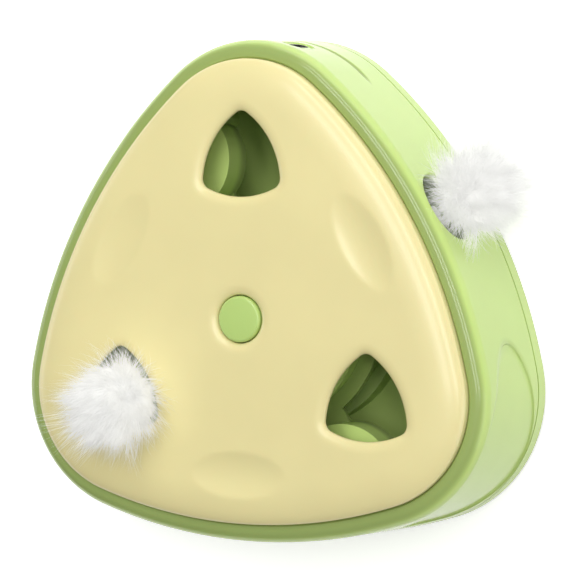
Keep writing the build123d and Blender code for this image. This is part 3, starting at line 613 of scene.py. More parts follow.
class BodyWall:
    """The body's outer skin, by the angle of the outline's normal and by the rise up the wall."""

    def __init__(self, sizes):
        self.sizes = sizes
        self.edge = rounded_triangle(sizes.corner_reach, sizes.corner_radius, sizes.side_radius)
        self.start = sizes.body_height - sizes.rim_round

    def profile(self, rise, depth=0.0):
        """Growth and height: up the drafted wall, then round the rim's quarter circle.

        With b = (rise - start) / round past the start, growth = flare - round (1 - cos b) - depth cos b and
        height = start + round sin b - depth sin b.
        """
        sizes = self.sizes
        bend = np.clip((rise - self.start) / sizes.rim_round, 0, pi / 2)
        straight = np.minimum(rise, self.start)
        flare = sizes.base_flare + (sizes.rim_flare - sizes.base_flare) * straight / sizes.body_height
        grow = flare - sizes.rim_round * (1 - np.cos(bend)) - depth * np.cos(bend)
        return grow, straight + (sizes.rim_round - depth) * np.sin(bend)

    def place(self, turn, grow, height):
        """Points of the outline grown outwards at a height."""
        across, upwards, _ = self.edge(turn, grow)
        return spread(across, upwards, height)

    def skin(self, turn, rise, depth=0.0):
        """Points of the skin sunk by a depth."""
        return self.place(turn, *self.profile(rise, depth))

    def aside(self, facing, turn, rise):
        """Distance of the skin's points to the left of a facing direction."""
        across, upwards, _ = self.edge(turn, self.profile(rise)[0])
        return upwards * cos(facing) - across * sin(facing)

    def turn_at(self, facing, aside, rise):
        """Normal's angle at a distance aside of a facing direction, by Newton's rule from a table's guess."""
        table = facing + np.linspace(-WIDEST_SWING, WIDEST_SWING, SWING_TABLE)
        turn = np.interp(aside, self.aside(facing, table, self.sizes.housing_foot), table)
        grow = self.profile(rise)[0]
        for _ in range(NEWTON_STEPS):
            across, upwards, radius = self.edge(turn, grow)
            found = upwards * cos(facing) - across * sin(facing)
            turn = turn + (aside - found) / (radius * np.cos(turn - facing))
        return turn


class WallSpot:
    """A point of the wall that shapes are laid out round, at a height and aside of a facing direction."""

    def __init__(self, wall, facing, height, offset=0.0):
        self.wall = wall
        self.facing = facing
        self.height = height
        self.offset = offset

    def skin(self, aside, rise, depth):
        """Skin points from distances aside of the spot and above it, sunk by a depth."""
        aside, rise = np.broadcast_arrays(aside + self.offset, rise + self.height)
        return self.wall.skin(self.wall.turn_at(self.facing, aside, rise), rise, depth)


def port_spot(wall, sizes):
    """Middle of the charging port, where the outline faces the port's direction."""
    facing = CORNERS[0] - sizes.port_turn
    offset = wall.aside(facing, np.array([facing]), np.array([sizes.port_height]))[0]
    return WallSpot(wall, facing, sizes.port_height, offset)


def cell_border(columns, rises):
    """Closed border of a cell of wall, anticlockwise seen from outside: foot, far side, top, near side."""
    upright = len(rises) - 1
    level = len(columns) - 1
    turn = [columns[:-1], np.full(upright, columns[-1]), columns[:0:-1], np.full(upright, columns[0])]
    rise = [np.full(level, rises[0]), rises[:-1], np.full(level, rises[-1]), rises[:0:-1]]
    return np.concatenate(turn), np.concatenate(rise)


class LoopCell:
    """Cell of wall with a closed curve round a spot, and rays from the curve to the cell's border.

    Outlines are pairs of arrays: distances aside of the spot and above it, one for each ray.
    """

    def __init__(self, spot, columns, rises, curve):
        self.spot = spot
        self.curve = curve
        turn, rise = cell_border(columns, rises)
        self.border = spot.wall.aside(spot.facing, turn, rise) - spot.offset, rise - spot.height
        self.ray = turn_towards(curve, np.arctan2(self.border[1], self.border[0]))

    def loop(self, grow=0.0):
        """The curve's outline, grown."""
        return self.curve(self.ray, grow)

    def inner_loop(self, other, grow):
        """Outline of another curve round the same spot, seen through the grown curve's points."""
        aside, rise = self.loop(grow)
        return other(turn_towards(other, np.arctan2(rise, aside)))

    def between(self, start, stop, rings, depth=0.0):
        """Rings of skin points from one outline to another."""
        aside = rows_between(start[0], stop[0], rings)
        return self.spot.skin(aside, rows_between(start[1], stop[1], rings), depth)

    def along(self, grow, depth):
        """A profile of growths and depths carried along the curve."""
        return self.spot.skin(*self.loop(grow[:, None]), depth[:, None])


def groove_depth(sizes, aside, rise):
    """Depth of the groove: a rounded valley along a rounded box's lower edge.

    d is the distance from the box's outline, and depth falls as 1 - (2 d / width)^2, held at nought. It fades
    out at the top of both ends.
    """
    half = (sizes.groove_length - sizes.groove_width) / 2
    corner = sizes.groove_corner
    low = sizes.groove_height + sizes.groove_width / 2
    out_x = np.abs(aside) - (half - corner)
    out_y = low + corner - rise
    outside = np.hypot(np.maximum(out_x, 0), np.maximum(out_y, 0))
    apart = np.abs(outside + np.minimum(np.maximum(out_x, out_y), 0) - corner)
    valley = np.maximum(1 - (2 * apart / sizes.groove_width) ** 2, 0)
    end = np.clip((sizes.groove_height + sizes.groove_rise - rise) / sizes.groove_width, 0, 1)
    return sizes.groove_depth * valley * end


def painted_cavity_shares(body, sizes, points):
    """Share of painted shade at points of the housing: one in the groove and at the parting line, less at
    panels.

    The groove takes the root of its depth's share. A panel's edge falls off as exp(-(d / w)^2), with d the
    distance from the ellipse, (p - 1) * b with p the distance in half sizes, and w the edge's width.
    """
    across, upwards, rise = points.T
    shade = np.sqrt(groove_depth(sizes, -across, rise) / sizes.groove_depth) * (upwards > 0)
    shade = np.maximum(shade, rise < body.housing_foot + body.edge_round / 2)
    for corner in CORNERS[1:]:
        outwards = across * cos(corner) + upwards * sin(corner)
        aside = upwards * cos(corner) - across * sin(corner)
        reach = np.hypot(2 * aside / sizes.panel_length, 2 * (rise - sizes.panel_middle) / sizes.panel_height)
        apart = (reach - 1) * sizes.panel_height / 2
        line = np.exp(-(apart / sizes.panel_edge) ** 2) * (outwards > 0)
        shade = np.maximum(shade, line * sizes.panel_painted_line)
    return shade


def step_rows(half_width, depth, count):
    """Profile across a recess's edge: growth from outside to inside and depth as half a cosine wave."""
    part = np.linspace(0, 1, count)
    return half_width * (1 - 2 * part), depth * (1 - np.cos(pi * part)) / 2


def opening_cell(shell, wall, side, columns, rises, sizes):
    """Wall round a side opening, its rounded lip and the wall's inner side."""
    opening = ellipse(sizes.opening_radius, sizes.opening_radius)
    cell = LoopCell(WallSpot(wall, side, sizes.opening_height), columns, rises, opening)
    inside = wall.sizes.wall
    turn = quarter(OPENING_LIP_ROWS)
    grow = np.append(sizes.opening_lip * (1 - np.sin(turn)), 0)
    depth = np.append(sizes.opening_lip * (1 - np.cos(turn)), inside)
    shell.grid(cell.between(cell.loop(sizes.opening_lip), cell.border, OPENING_RINGS), closed=True)
    shell.grid(cell.along(grow, depth), closed=True)
    shell.grid(cell.between(cell.loop(), cell.border, OPENING_INNER_RINGS, inside), closed=True)


def panel_cell(shell, wall, corner, columns, rises, sizes):
    """Wall round a corner's oval panel, the panel's edge and floor, and the wall's inner side."""
    panel = ellipse(sizes.panel_length / 2, sizes.panel_height / 2)
    cell = LoopCell(WallSpot(wall, corner, sizes.panel_middle), columns, rises, panel)
    edge = step_rows(sizes.panel_edge, sizes.panel_depth, PANEL_EDGE_ROWS)
    floor = cell.between(cell.loop(-sizes.panel_edge), (0, 0), PANEL_FLOOR_RINGS, sizes.panel_depth)
    shell.grid(cell.between(cell.loop(sizes.panel_edge), cell.border, PANEL_RINGS), closed=True)
    shell.grid(cell.along(*edge), closed=True)
    shell.grid(floor, closed=True)
    shell.grid(wall.skin(columns, rises[:, None], wall.sizes.wall))


def port_cell(shell, wall, columns, rises, sizes):
    """Wall round the charging port, its recess, the slot through the wall and the wall's inner side."""
    recess = capsule(sizes.port_width / 2, sizes.port_length / 2)
    slot = capsule(sizes.slot_width / 2, sizes.slot_length / 2)
    spot = port_spot(wall, sizes)
    cell = LoopCell(spot, columns, rises, recess)
    inside = wall.sizes.wall
    floor = cell.loop(-sizes.port_edge)
    mouth = cell.inner_loop(slot, -sizes.port_edge)
    edge = step_rows(sizes.port_edge, sizes.port_depth, PORT_EDGE_ROWS)
    shell.grid(cell.between(cell.loop(sizes.port_edge), cell.border, PORT_RINGS), closed=True)
    shell.grid(cell.along(*edge), closed=True)
    shell.grid(cell.between(floor, mouth, PORT_FLOOR_RINGS, sizes.port_depth), closed=True)
    shell.grid(spot.skin(*mouth, np.array([[sizes.port_depth], [inside]])), closed=True)
    shell.grid(cell.between(mouth, cell.border, PORT_INNER_RINGS, inside), closed=True)


def rim_rows(wall, top):
    """Rim from the wall's top over the quarter round, across the band, down to the ledge and back inside."""
    body = wall.sizes
    over = np.linspace(top, wall.start + body.rim_round * pi / 2, RIM_ROWS)
    grow, height = wall.profile(over)
    seat = body.cover_gap
    inner_grow, inner_height = wall.profile(top, body.wall)
    floor = body.body_height - body.rim_plate
    ledge = COVER_BOX[0].z
    grow = np.concatenate([grow, [seat + body.edge_round, seat, seat, -body.ledge, -body.ledge, inner_grow]])
    height = np.concatenate([
        height, [body.body_height, body.body_height - body.edge_round, ledge, ledge, floor, inner_height],
    ])
    return grow[:, None], height[:, None]


def foot_rows(wall):
    """Broken edge and underside of the wall at the parting line."""
    body = wall.sizes
    start = body.housing_foot + body.edge_round
    outer, _ = wall.profile(start)
    inner, _ = wall.profile(start, body.wall)
    foot = body.housing_foot
    grow = np.array([outer, outer - body.edge_round, inner, inner])
    return grow[:, None], np.array([start, foot, foot, start])[:, None]


def housing_shell(body, sizes):
    """Housing of wall cells round its openings, panels and port, closed by the rim, ledge and foot."""
    shell = Shell()
    wall = BodyWall(body)
    top = wall.start + body.rim_round * RIM_JOIN_SHARE
    split = sizes.groove_height + sizes.groove_rise + sizes.groove_width
    low = sizes.groove_height - sizes.groove_width / 2
    below = np.linspace(body.housing_foot + body.edge_round, low, LOW_ROWS)[:-1]
    lower = np.concatenate([below, np.linspace(low, split, GROOVE_ROWS)])
    upper = np.linspace(split, top, HIGH_ROWS)
    rises = np.concatenate([lower[:-1], upper])
    reach = THIRD / 2 - body.side_half
    every_turn = []

    for side in SIDES:
        columns = even_turns(wall.edge, side, body.side_half, SIDE_COLUMNS)
        every_turn.append(columns)
        opening_cell(shell, wall, side, columns, rises, sizes)

    for corner in CORNERS[1:]:
        columns = even_turns(wall.edge, corner, reach, CORNER_COLUMNS)
        every_turn.append(columns)
        panel_cell(shell, wall, corner, columns, rises, sizes)

    columns = even_turns(wall.edge, CORNERS[0], reach, PORT_COLUMNS)
    every_turn.append(columns)
    lower = lower[:, None]
    sunk = groove_depth(sizes, wall.aside(CORNERS[0], columns, lower), lower)
    shell.grid(wall.skin(columns, lower, sunk))
    shell.grid(wall.skin(columns, lower, body.wall))
    port_cell(shell, wall, columns, upper, sizes)

    turn = np.concatenate([columns[:-1] for columns in sorted(every_turn, key=lambda columns: columns[0])])
    shell.grid(wall.place(turn, *rim_rows(wall, top)), closed=True)
    shell.grid(wall.place(turn, *foot_rows(wall)), closed=True)
    made = shell.build("green_housing")
    points = np.empty(3 * len(made.data.vertices), np.float32)
    made.data.vertices.foreach_get("co", points)
    # The cavity attribute carries the painted shade of the groove, the panel edges and the parting line.
    shade = made.data.attributes.new("cavity", "FLOAT", "POINT")
    shade.data.foreach_set("value", painted_cavity_shares(body, sizes, points.reshape(-1, 3)).astype(np.float32))
    return made


def port_bezel(body, sizes):
    """Thin dark frame round the socket's slot, from the recess's floor down into the slot: partly a black
    insert, partly painted shade lining the slot.
    """
    slot = capsule(sizes.slot_width / 2, sizes.slot_length / 2)
    floor = sizes.port_depth
    edge = sizes.bezel_width
    lift = sizes.bezel_lift
    grow = np.array([-lift, -lift, 0, edge - lift, edge, edge, -lift])[:, None]
    depth = np.array([body.wall, floor, floor - lift, floor - lift, floor, floor + lift, body.wall])[:, None]
    points = port_spot(BodyWall(body), sizes).skin(*slot(full_circle(BEZEL_COLUMNS), grow), depth)
    return one_grid("port_bezel", points)


# Button

DOME_ROWS = 10
BUTTON_EDGE_ROWS = 10
BUTTON_COLUMNS = 96


def button_shell(sizes):
    """Cap turned about the axis: domed top, rounded edge, side, flange and the nib under it."""
    top = BUTTON_BOX[1].z
    low = BUTTON_BOX[0].z
    foot = low + sizes.nib_length
    flange_top = foot + sizes.flange_thickness
    flat = sizes.radius - sizes.edge
    brim = sizes.radius + sizes.flange
    inner = np.linspace(0, flat, DOME_ROWS)[:-1]
    crown = top - sizes.crown * (inner / flat) ** 2
    turn = quarter(BUTTON_EDGE_ROWS)
    edge_radius = flat + sizes.edge * np.sin(turn)
    edge_height = top - sizes.crown - sizes.edge * (1 - np.cos(turn))
    below = [sizes.radius, brim, brim, sizes.nib_radius, sizes.nib_radius, 0]
    radius = np.concatenate([inner, edge_radius, below])[:, None]
    height = np.concatenate([crown, edge_height, [flange_top, flange_top, foot, foot, low, low]])[:, None]
    around = full_circle(BUTTON_COLUMNS)
    return one_grid("round_button", spread(radius * np.cos(around), radius * np.sin(around), height))


# Fur

STRAND_STEPS = 5
TUFT_SPREAD = 0.05
LEAST_GATHER_SHARE = 0.6
SWELL_WAVES = 4
SWELL_TWIST = 3
TWIST_WAVES = np.array([3, 0, 2])
SHORT_TUFT_SHARE = 0.62
LONG_TUFT_SHARE = 0.95
COMBED_TUFT_SHARE = 0.5
SHORT_STRAND_SHARE = 0.55
SHORT_STRAY_SHARE = 0.8
LONG_STRAY_SHARE = 0.95
ROOT_SHARE = 0.55
WAVE_SHARE = 0.14
TAPER_POWER = 1.6
PAD_COLUMNS = 48
PAD_ROWS = 25
STEM_COLUMNS = 24
STEM_ROWS = 28


def unit(vectors):
    """Vectors scaled to length one."""
    return vectors / np.linalg.norm(vectors, axis=-1, keepdims=True)


def from_least(least, part):
    """Shares from a least one up to one."""
    return least + (1 - least) * part


def strand_paths(draw, sizes, count, middle, tufts, comb):
    """Curves of strands from the pad, gathered into tufts and drooping.

    With d a root's direction and g its tuft's, path(u) = middle + r d + L u (d + (g - d) gather u)
    + comb droop u u + a sideways wave and its tuft's curl, which grow with u u. Tufts towards the comb's side
    are longer, few tufts are long, and a stray strand keeps its own direction.
    """
    straight = unit(draw.normal(size=(count, 3)))
    nearest = np.argmax(straight @ tufts.T, axis=1)
    target = unit(tufts[nearest] + draw.normal(scale=TUFT_SPREAD, size=(count, 3)))
    single = draw.random(count) < sizes.stray
    gather = sizes.gather * from_least(LEAST_GATHER_SHARE, draw.random(count))
    gather = np.where(single, 0, gather)[:, None, None]
    swell = np.sin(SWELL_WAVES * tufts @ comb + SWELL_TWIST * np.sin(tufts @ TWIST_WAVES))
    combed = COMBED_TUFT_SHARE * np.maximum(tufts @ comb, 0) ** 3
    tuft_length = SHORT_TUFT_SHARE + LONG_TUFT_SHARE * draw.random(len(tufts)) ** 4 + combed
    tuft_length = (1 + sizes.unevenness * swell) * tuft_length
    strand = tuft_length[nearest] * from_least(SHORT_STRAND_SHARE, np.sqrt(draw.random(count)))
    stray = SHORT_STRAY_SHARE + LONG_STRAY_SHARE * draw.random(count) ** 2
    strand = sizes.strand_length * np.where(single, stray, strand)[:, None, None]
    part = np.linspace(0, 1, STRAND_STEPS + 1)[None, :, None]
    root = straight[:, None] * sizes.core_radius * from_least(ROOT_SHARE, draw.random((count, 1, 1)))
    lean = straight[:, None] + (target - straight)[:, None] * gather * part
    curl = unit(np.cross(tufts, draw.normal(size=tufts.shape)))[nearest, None] * sizes.curl
    bend = unit(np.cross(straight, draw.normal(size=(count, 3))))[:, None]
    wave = strand * (curl + bend * WAVE_SHARE * draw.normal(size=(count, 1, 1))) * part ** 2
    return middle + root + lean * strand * part + wave + comb * sizes.droop * part ** 2


def strand_mesh(draw, name, paths, radius):
    """Three-sided tapering tubes along paths, closed at the root and drawn to a point at the tip."""
    count, rings = paths.shape[:2]
    rings -= 1
    forward = unit(paths[:, -1] - paths[:, 0])
    first = unit(np.cross(forward, draw.normal(size=(count, 3))))
    second = np.cross(forward, first)
    turn = np.arange(3) * THIRD
    around = first[:, None] * np.cos(turn)[None, :, None] + second[:, None] * np.sin(turn)[None, :, None]
    part = np.linspace(0, 1, rings + 1)[:-1]
    taper = (1 - part ** TAPER_POWER)[None, :, None, None] * radius
    tube = paths[:, :-1, None] + around[:, None] * taper
    points = np.concatenate([tube.reshape(count, -1, 3), paths[:, -1:]], axis=1)
    each = 3 * rings + 1
    low = np.arange(3 * (rings - 1)).reshape(-1, 3)
    turned = np.roll(low, -1, axis=1)
    quads = np.stack([low, turned, turned + 3, low + 3], axis=-1).reshape(-1, 4)
    halves = np.concatenate([quads[:, [0, 1, 2]], quads[:, [0, 2, 3]]])
    last = 3 * (rings - 1) + np.arange(3)
    tip = np.stack([last, np.roll(last, -1), np.full(3, each - 1)], axis=-1)
    single = np.concatenate([halves, tip, [[2, 1, 0]]])
    faces = (single[None] + each * np.arange(count)[:, None, None]).reshape(-1, 3)
    return smooth_piece(name, mesh_of(name, points.reshape(-1, 3), faces))


def fur_pad(name, middle, radius):
    """Lumpy pad under the strands: a ball whose radius waves with its two angles.

    Radius = r (1 + k sin(5 a + 2 sin 3 d) sin(d)^2 + m cos 7 d sin d), at angles a round it and d down from
    its top.
    """
    round_lump = 0.07
    level_lump = 0.05
    across = full_circle(PAD_COLUMNS)
    down = np.linspace(0, pi, PAD_ROWS)[:, None]
    lumps = 1 + round_lump * np.sin(5 * across + 2 * np.sin(3 * down)) * np.sin(down) ** 2
    lumps = lumps + level_lump * np.cos(7 * down) * np.sin(down)
    ball = spread(np.sin(down) * np.cos(across), np.sin(down) * np.sin(across), np.cos(down))
    return one_grid(name, middle + radius * lumps[..., None] * ball)


def soft_stem(name, start, stop, radius, collar):
    """Soft stem: rings along a straight path, swelling to a collar and waved like a moulded bellows.

    Size = radius (1 + wave sin(pace u)) + (collar - radius) / (1 + exp(-sharpness (u - swelling))). It is
    nought at the first and last ring, and the path stands still there, so that both ends are flat.
    """
    wave = 0.06
    pace = 60
    swelling = 0.86
    sharpness = 40
    end_share = 0.04
    askew = (0.3, 0.5, -0.8)
    forward = unit(stop - start)
    first = unit(np.cross(forward, askew))
    second = np.cross(forward, first)
    part = np.linspace(0, 1, STEM_ROWS)[:, None]
    swell = 1 / (1 + np.exp(-sharpness * (part - swelling)))
    size = radius * (1 + wave * np.sin(part * pace)) + (collar - radius) * swell
    size[[0, -1]] = 0
    around = full_circle(STEM_COLUMNS)[:, None]
    path = start + (stop - start) * np.clip(part * (1 + 2 * end_share) - end_share, 0, 1)
    ring = first * np.cos(around) + second * np.sin(around)
    return one_grid(name, path[:, None] + ring[None] * size[..., None])


def corners_of(node):
    """Low and high corner of a CAD node's box."""
    return tuple(np.array(corner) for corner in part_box(node))


def face_teaser(sizes):
    """Middle of the face teaser's fur and the ends of its upright stem."""
    low, high = corners_of("face_pompom")
    stem_low, stem_high = corners_of("face_stem")
    middle = (low + high) / 2
    middle[2] = high[2] - (high[0] - low[0]) / 2
    axis = (stem_low + stem_high)[:2] / 2
    return middle + sizes.face_shift, np.append(axis, stem_low[2]), np.append(axis, stem_high[2])


def side_teaser(sizes):
    """Middle of the side teaser's fur and the ends of its level stem."""
    low, high = corners_of("side_pompom")
    middle = (low + high) / 2
    middle[:2] = high[:2] - (high[2] - low[2]) / 2
    middle = middle + sizes.side_shift
    height = np.array([0, 0, middle[2]])
    outwards = np.array([cos(SIDES[0]), sin(SIDES[0]), 0])
    start, stop = (outwards * np.hypot(*corner[:2]) + height for corner in corners_of("side_stem"))
    return middle, start, stop


# Finishes, each with its colour, the colour's tint, and roughness

SURFACES = {
    "cream_moulded": ("cream", 1, 0.26),
    "green_moulded": ("green", 1, 0.17),
    "button_moulded": ("button", 1, 0.24),
    "base_moulded": ("green", 1, 0.24),
    "inner_moulded": ("inside", 1, 0.42),
    # Painted light: the rotor plate, ring and pod are tinted lighter than their plastic to stand in for light
    # falling on them inside.
    "rotor_moulded": ("green", 1.28, 0.36),
    "ring_moulded": ("green", 1.3, 0.45),
    "pod_moulded": ("inside", 1.6, 0.45),
    "white_moulded": ("white", 1, 0.4),
    "black_moulded": ("black", 1, 0.4),
    "bezel_moulded": ("bezel", 1, 0.4),
    "cell_wrap": ("cell", 1, 0.25),
    "solder_mask": ("board", 1, 0.3),
    "steel": ("steel", 1, 0.32),
    "brass": ("brass", 1, 0.32),
    "dark_steel": ("socket", 1, 0.5),
    "foot_rubber": ("rubber", 1, 0.7),
    "soft_stem": ("stem", 1, 0.6),
    "white_fur": ("fur", 1, 0.8),
}


class Nodes:
    """Short way to add and link the nodes of a material or a world."""

    def __init__(self, owner, shader="Principled BSDF"):
        owner.use_nodes = True
        self.owner = owner
        self.tree = owner.node_tree
        self.shader = self.tree.nodes[shader]

    def fill(self, node, values):
        """Gives a node's input sockets values or links. Their names have underscores for spaces."""
        for name, value in values.items():
            socket = node.inputs[name.replace("_", " ")]
            if isinstance(value, bpy.types.NodeSocket):
                self.tree.links.new(value, socket)
            else:
                socket.default_value = value

    def add(self, kind, settings=None, **values):
        """Adds a node with its settings, and with values or links for its input sockets."""
        made = self.tree.nodes.new(kind)
        for name, value in (settings or {}).items():
            setattr(made, name, value)
        self.fill(made, values)
        return made

    def link(self, node, first, *sources):
        """Links output sockets to a node's input sockets by their order, from a first one on."""
        for order, source in enumerate(sources, first):
            self.tree.links.new(source, node.inputs[order])

    def set(self, **values):
        """Gives the shader's own input sockets values or links."""
        self.fill(self.shader, values)
        return self.owner

    def places(self, kind="Object"):
        """Coordinates of what is shaded."""
        return self.add("ShaderNodeTexCoord").outputs[kind]

    def sums(self, operation, first, second):
        """Adds or multiplies two output sockets."""
        made = self.add("ShaderNodeMath", {"operation": operation})
        self.link(made, 0, first, second)
        return made.outputs["Value"]

    def noise(self, scale, detail):
        """Noise on Object coordinates, with its scale in waves per metre."""
        return self.add("ShaderNodeTexNoise", Scale=scale, Detail=detail, Vector=self.places()).outputs["Fac"]

    def ramp(self, level, low, high, start, stop):
        """Maps a level between start and stop to a colour between low and high."""
        made = self.add("ShaderNodeValToRGB", Fac=level)
        for end, position, shade in zip(made.color_ramp.elements, (start, stop), (low, high)):
            end.position = position
            end.color = (*shade, 1)
        return made.outputs["Color"]

    def bump(self, height, strength, depth):
        """Normals from a height in the same units as the object."""
        return self.add("ShaderNodeBump", Strength=strength, Distance=depth, Height=height).outputs["Normal"]


def tint(shade, times):
    """A colour made lighter or darker."""
    return tuple(min(part * times, 1) for part in shade)


def grey(level):
    """The grey of a level."""
    return (level,) * 3


def surface(name, looks):
    """Nodes of a new finish, with its colour and roughness from the table."""
    key, lightness, rough = SURFACES[name]
    return Nodes(bpy.data.materials.new(name)), tint(getattr(looks, key), lightness), rough


def moulded(name, looks, scatter=0.0, gleam=0.5):
    """Moulded plastic: faint flow clouds in the colour, fine spark grain, and uneven gloss."""
    darker = 0.965
    lighter = 1.02
    uneven = 0.012
    start = 0.3
    stop = 0.7
    nodes, shade, rough = surface(name, looks)
    clouds = nodes.noise(scale=24, detail=3)
    patches = nodes.noise(scale=900, detail=2)
    grain = nodes.noise(scale=2600, detail=2)
    return nodes.set(
        Base_Color=nodes.ramp(clouds, tint(shade, darker), tint(shade, lighter), start, stop),
        Roughness=nodes.ramp(patches, grey(rough - uneven), grey(rough + uneven), start, stop),
        Normal=nodes.bump(grain, strength=0.06, depth=0.00001),
        IOR=1.5, Specular_IOR_Level=gleam, Subsurface_Weight=scatter, Subsurface_Scale=0.002,
    )


def paint_shade_by_level(nodes, level, lightness):
    """Paints shade into a plastic's colour by the level that a socket gives."""
    plain = nodes.shader.inputs["Base Color"].links[0].from_socket
    multiply = {"data_type": "RGBA", "blend_type": "MULTIPLY"}
    blend = nodes.add("ShaderNodeMix", multiply, Factor=level, A=plain, B=(*grey(lightness), 1))
    nodes.set(Base_Color=blend.outputs["Result"])


def paint_shade_by_height(material, start, stop, lightness):
    """Paints shade into a plastic between two heights in Object coordinates, from none at start to all at
    stop.
    """
    nodes = Nodes(material)
    height = nodes.add("ShaderNodeSeparateXYZ", Vector=nodes.places()).outputs["Z"]
    smooth = {"interpolation_type": "SMOOTHSTEP"}
    step = nodes.add("ShaderNodeMapRange", smooth, Value=height, From_Min=start, From_Max=stop)
    paint_shade_by_level(nodes, step.outputs["Result"], lightness)


def paint_cavity_shade(material, lightness):
    """Paints shade into a plastic by the mesh's cavity attribute."""
    nodes = Nodes(material)
    cavity = nodes.add("ShaderNodeAttribute", {"attribute_name": "cavity"})
    paint_shade_by_level(nodes, cavity.outputs["Fac"], lightness)


def brushed(name, looks):
    """Bare metal with fine brush lines from stretched noise."""
    darker = 0.82
    lighter = 1.08
    smoother = 0.08
    rougher = 0.14
    nodes, shade, rough = surface(name, looks)
    stretch = nodes.add("ShaderNodeMapping", Scale=(1, 18, 18), Vector=nodes.places())
    noise = nodes.add("ShaderNodeTexNoise", Scale=500, Detail=5, Vector=stretch.outputs["Vector"])
    lines = noise.outputs["Fac"]
    return nodes.set(
        Base_Color=nodes.ramp(lines, tint(shade, darker), tint(shade, lighter), 0, 1),
        Roughness=nodes.ramp(lines, grey(rough - smoother), grey(rough + rougher), 0, 1),
        Normal=nodes.bump(lines, strength=0.3, depth=0.00001),
        Metallic=1,
    )


def board_mask(name, looks):
    """Circuit board: solder mask with faint lighter cells."""
    lighter = 1.8
    start = 0.12
    stop = 0.2
    nodes, shade, rough = surface(name, looks)
    cells = nodes.add("ShaderNodeTexVoronoi", {"distance": "MANHATTAN"}, Scale=420, Vector=nodes.places())
    apart = cells.outputs["Distance"]
    return nodes.set(
        Base_Color=nodes.ramp(apart, tint(shade, lighter), shade, start, stop),
        Roughness=rough,
        Normal=nodes.bump(apart, strength=0.3, depth=0.00003),
    )


def rubbery(name, looks):
    """Rubber: dusty cloud in the colour and a fine matt grain."""
    darker = 0.85
    lighter = 1.15
    start = 0.3
    stop = 0.7
    nodes, shade, rough = surface(name, looks)
    clouds = nodes.noise(scale=180, detail=5)
    grain = nodes.noise(scale=3000, detail=3)
    return nodes.set(
        Base_Color=nodes.ramp(clouds, tint(shade, darker), tint(shade, lighter), start, stop),
        Roughness=rough,
        Normal=nodes.bump(grain, strength=0.5, depth=0.00003),
    )


def fur_finish(name, looks):
    """Fur: white hair, a little greyer in cloudy patches. Half the light goes through a hair.

    A faint painted glow stands for the light that white hair passes on from strand to strand.
    """
    darker = 0.9
    start = 0.35
    stop = 0.65
    nodes, shade, rough = surface(name, looks)
    clouds = nodes.noise(scale=260, detail=3)
    grain = nodes.noise(scale=9000, detail=2)
    hair = nodes.ramp(clouds, tint(shade, darker), shade, start, stop)
    through = nodes.add("ShaderNodeBsdfTranslucent", Color=hair)
    blend = nodes.add("ShaderNodeMixShader", Fac=0.5)
    nodes.link(blend, 1, nodes.shader.outputs["BSDF"], through.outputs["BSDF"])
    nodes.fill(nodes.tree.nodes["Material Output"], {"Surface": blend.outputs["Shader"]})
    return nodes.set(
        Base_Color=hair, Emission_Color=hair, Emission_Strength=looks.fur_glow,
        Normal=nodes.bump(grain, strength=0.2, depth=0.00002), Roughness=rough, Specular_IOR_Level=0.2,
    )


# Stage: strips by start, stop, width and watts, and boxes by middle, aim, sizes and watts

FLOOR_STEPS = 13
STRIP_LAMPS = {
    "near_strip": ((-0.168, 0.588, 1.0), (0.223, -0.048, 1.0), 0.11, 2.4),
    "far_strip": ((-0.01, 1.08, 1.0), (0.64, -0.06, 1.0), 0.13, 4.6),
    "left_strip": ((-0.91, 0.42, 0.28), (-0.95, -0.22, 0.22), 0.16, 1.0),
}
BOX_LAMPS = {
    "top_softbox": ((0.25, 1.15, 0.36), (0, 0.03, 0.03), (1.1, 0.5), 3.4),
    "overhead": ((0.15, 0.1, 1.5), (0, 0, 0), (1.2, 1.2), 1.6),
    "right_fill": ((1.15, -0.35, 0.42), (0, 0, 0.03), (0.8, 0.6), 2.3),
}


def area_lamp(name, size, watts, turn):
    """Rectangular lamp with a width and a height, at a matrix's place and turn."""
    data = bpy.data.lights.new(name, "AREA")
    data.shape = "RECTANGLE"
    data.size, data.size_y = size
    data.energy = watts
    lamp = bpy.data.objects.new(name, data)
    lamp.matrix_world = turn
    bpy.context.scene.collection.objects.link(lamp)


def box_lamp(name, middle, aim, size, watts):
    """Lamp at a place, aimed at a point, with its width level."""
    middle = Vector(middle)
    turn = (Vector(aim) - middle).to_track_quat("-Z", "Y").to_matrix().to_4x4()
    area_lamp(name, size, watts, Matrix.Translation(middle) @ turn)


def strip_lamp(name, start, stop, width, watts):
    """Strip lamp between two points, facing the object."""
    start = Vector(start)
    stop = Vector(stop)
    middle = (start + stop) / 2
    along = (stop - start).normalized()
    side = middle.normalized().cross(along).normalized()
    turn = Matrix((along, side, along.cross(side))).transposed().to_4x4()
    area_lamp(name, ((stop - start).length, width), watts, Matrix.Translation(middle) @ turn)


def pale_floor(sizes):
    """Pale floor under the feet that keeps the shadow and looks white to the camera."""
    nodes = Nodes(bpy.data.materials.new("pale_floor"))
    rays = nodes.add("ShaderNodeLightPath").outputs
    mirrored = nodes.sums("ADD", rays["Is Glossy Ray"], rays["Is Transmission Ray"])
    seen = nodes.sums("ADD", rays["Is Camera Ray"], mirrored)
    apart = nodes.add("ShaderNodeVectorMath", {"operation": "LENGTH"})
    nodes.link(apart, 0, nodes.places())
    white = nodes.add(
        "ShaderNodeMapRange", Value=apart.outputs["Value"], From_Min=sizes.glow_near, From_Max=sizes.glow_far,
        To_Min=sizes.least_glow, To_Max=1,
    )
    pale = nodes.set(
        Base_Color=(*grey(sizes.floor_grey), 1), Roughness=0.9, Specular_IOR_Level=0.1,
        Emission_Color=(1, 1, 1, 1), Emission_Strength=nodes.sums("MULTIPLY", seen, white.outputs["Result"]),
    )
    steps = np.linspace(-sizes.floor_half, sizes.floor_half, FLOOR_STEPS)
    floor = one_grid("floor", spread(steps[None, :], steps[:, None], CAD_BOX[0].z), closed=False)
    floor.data.materials.append(pale)


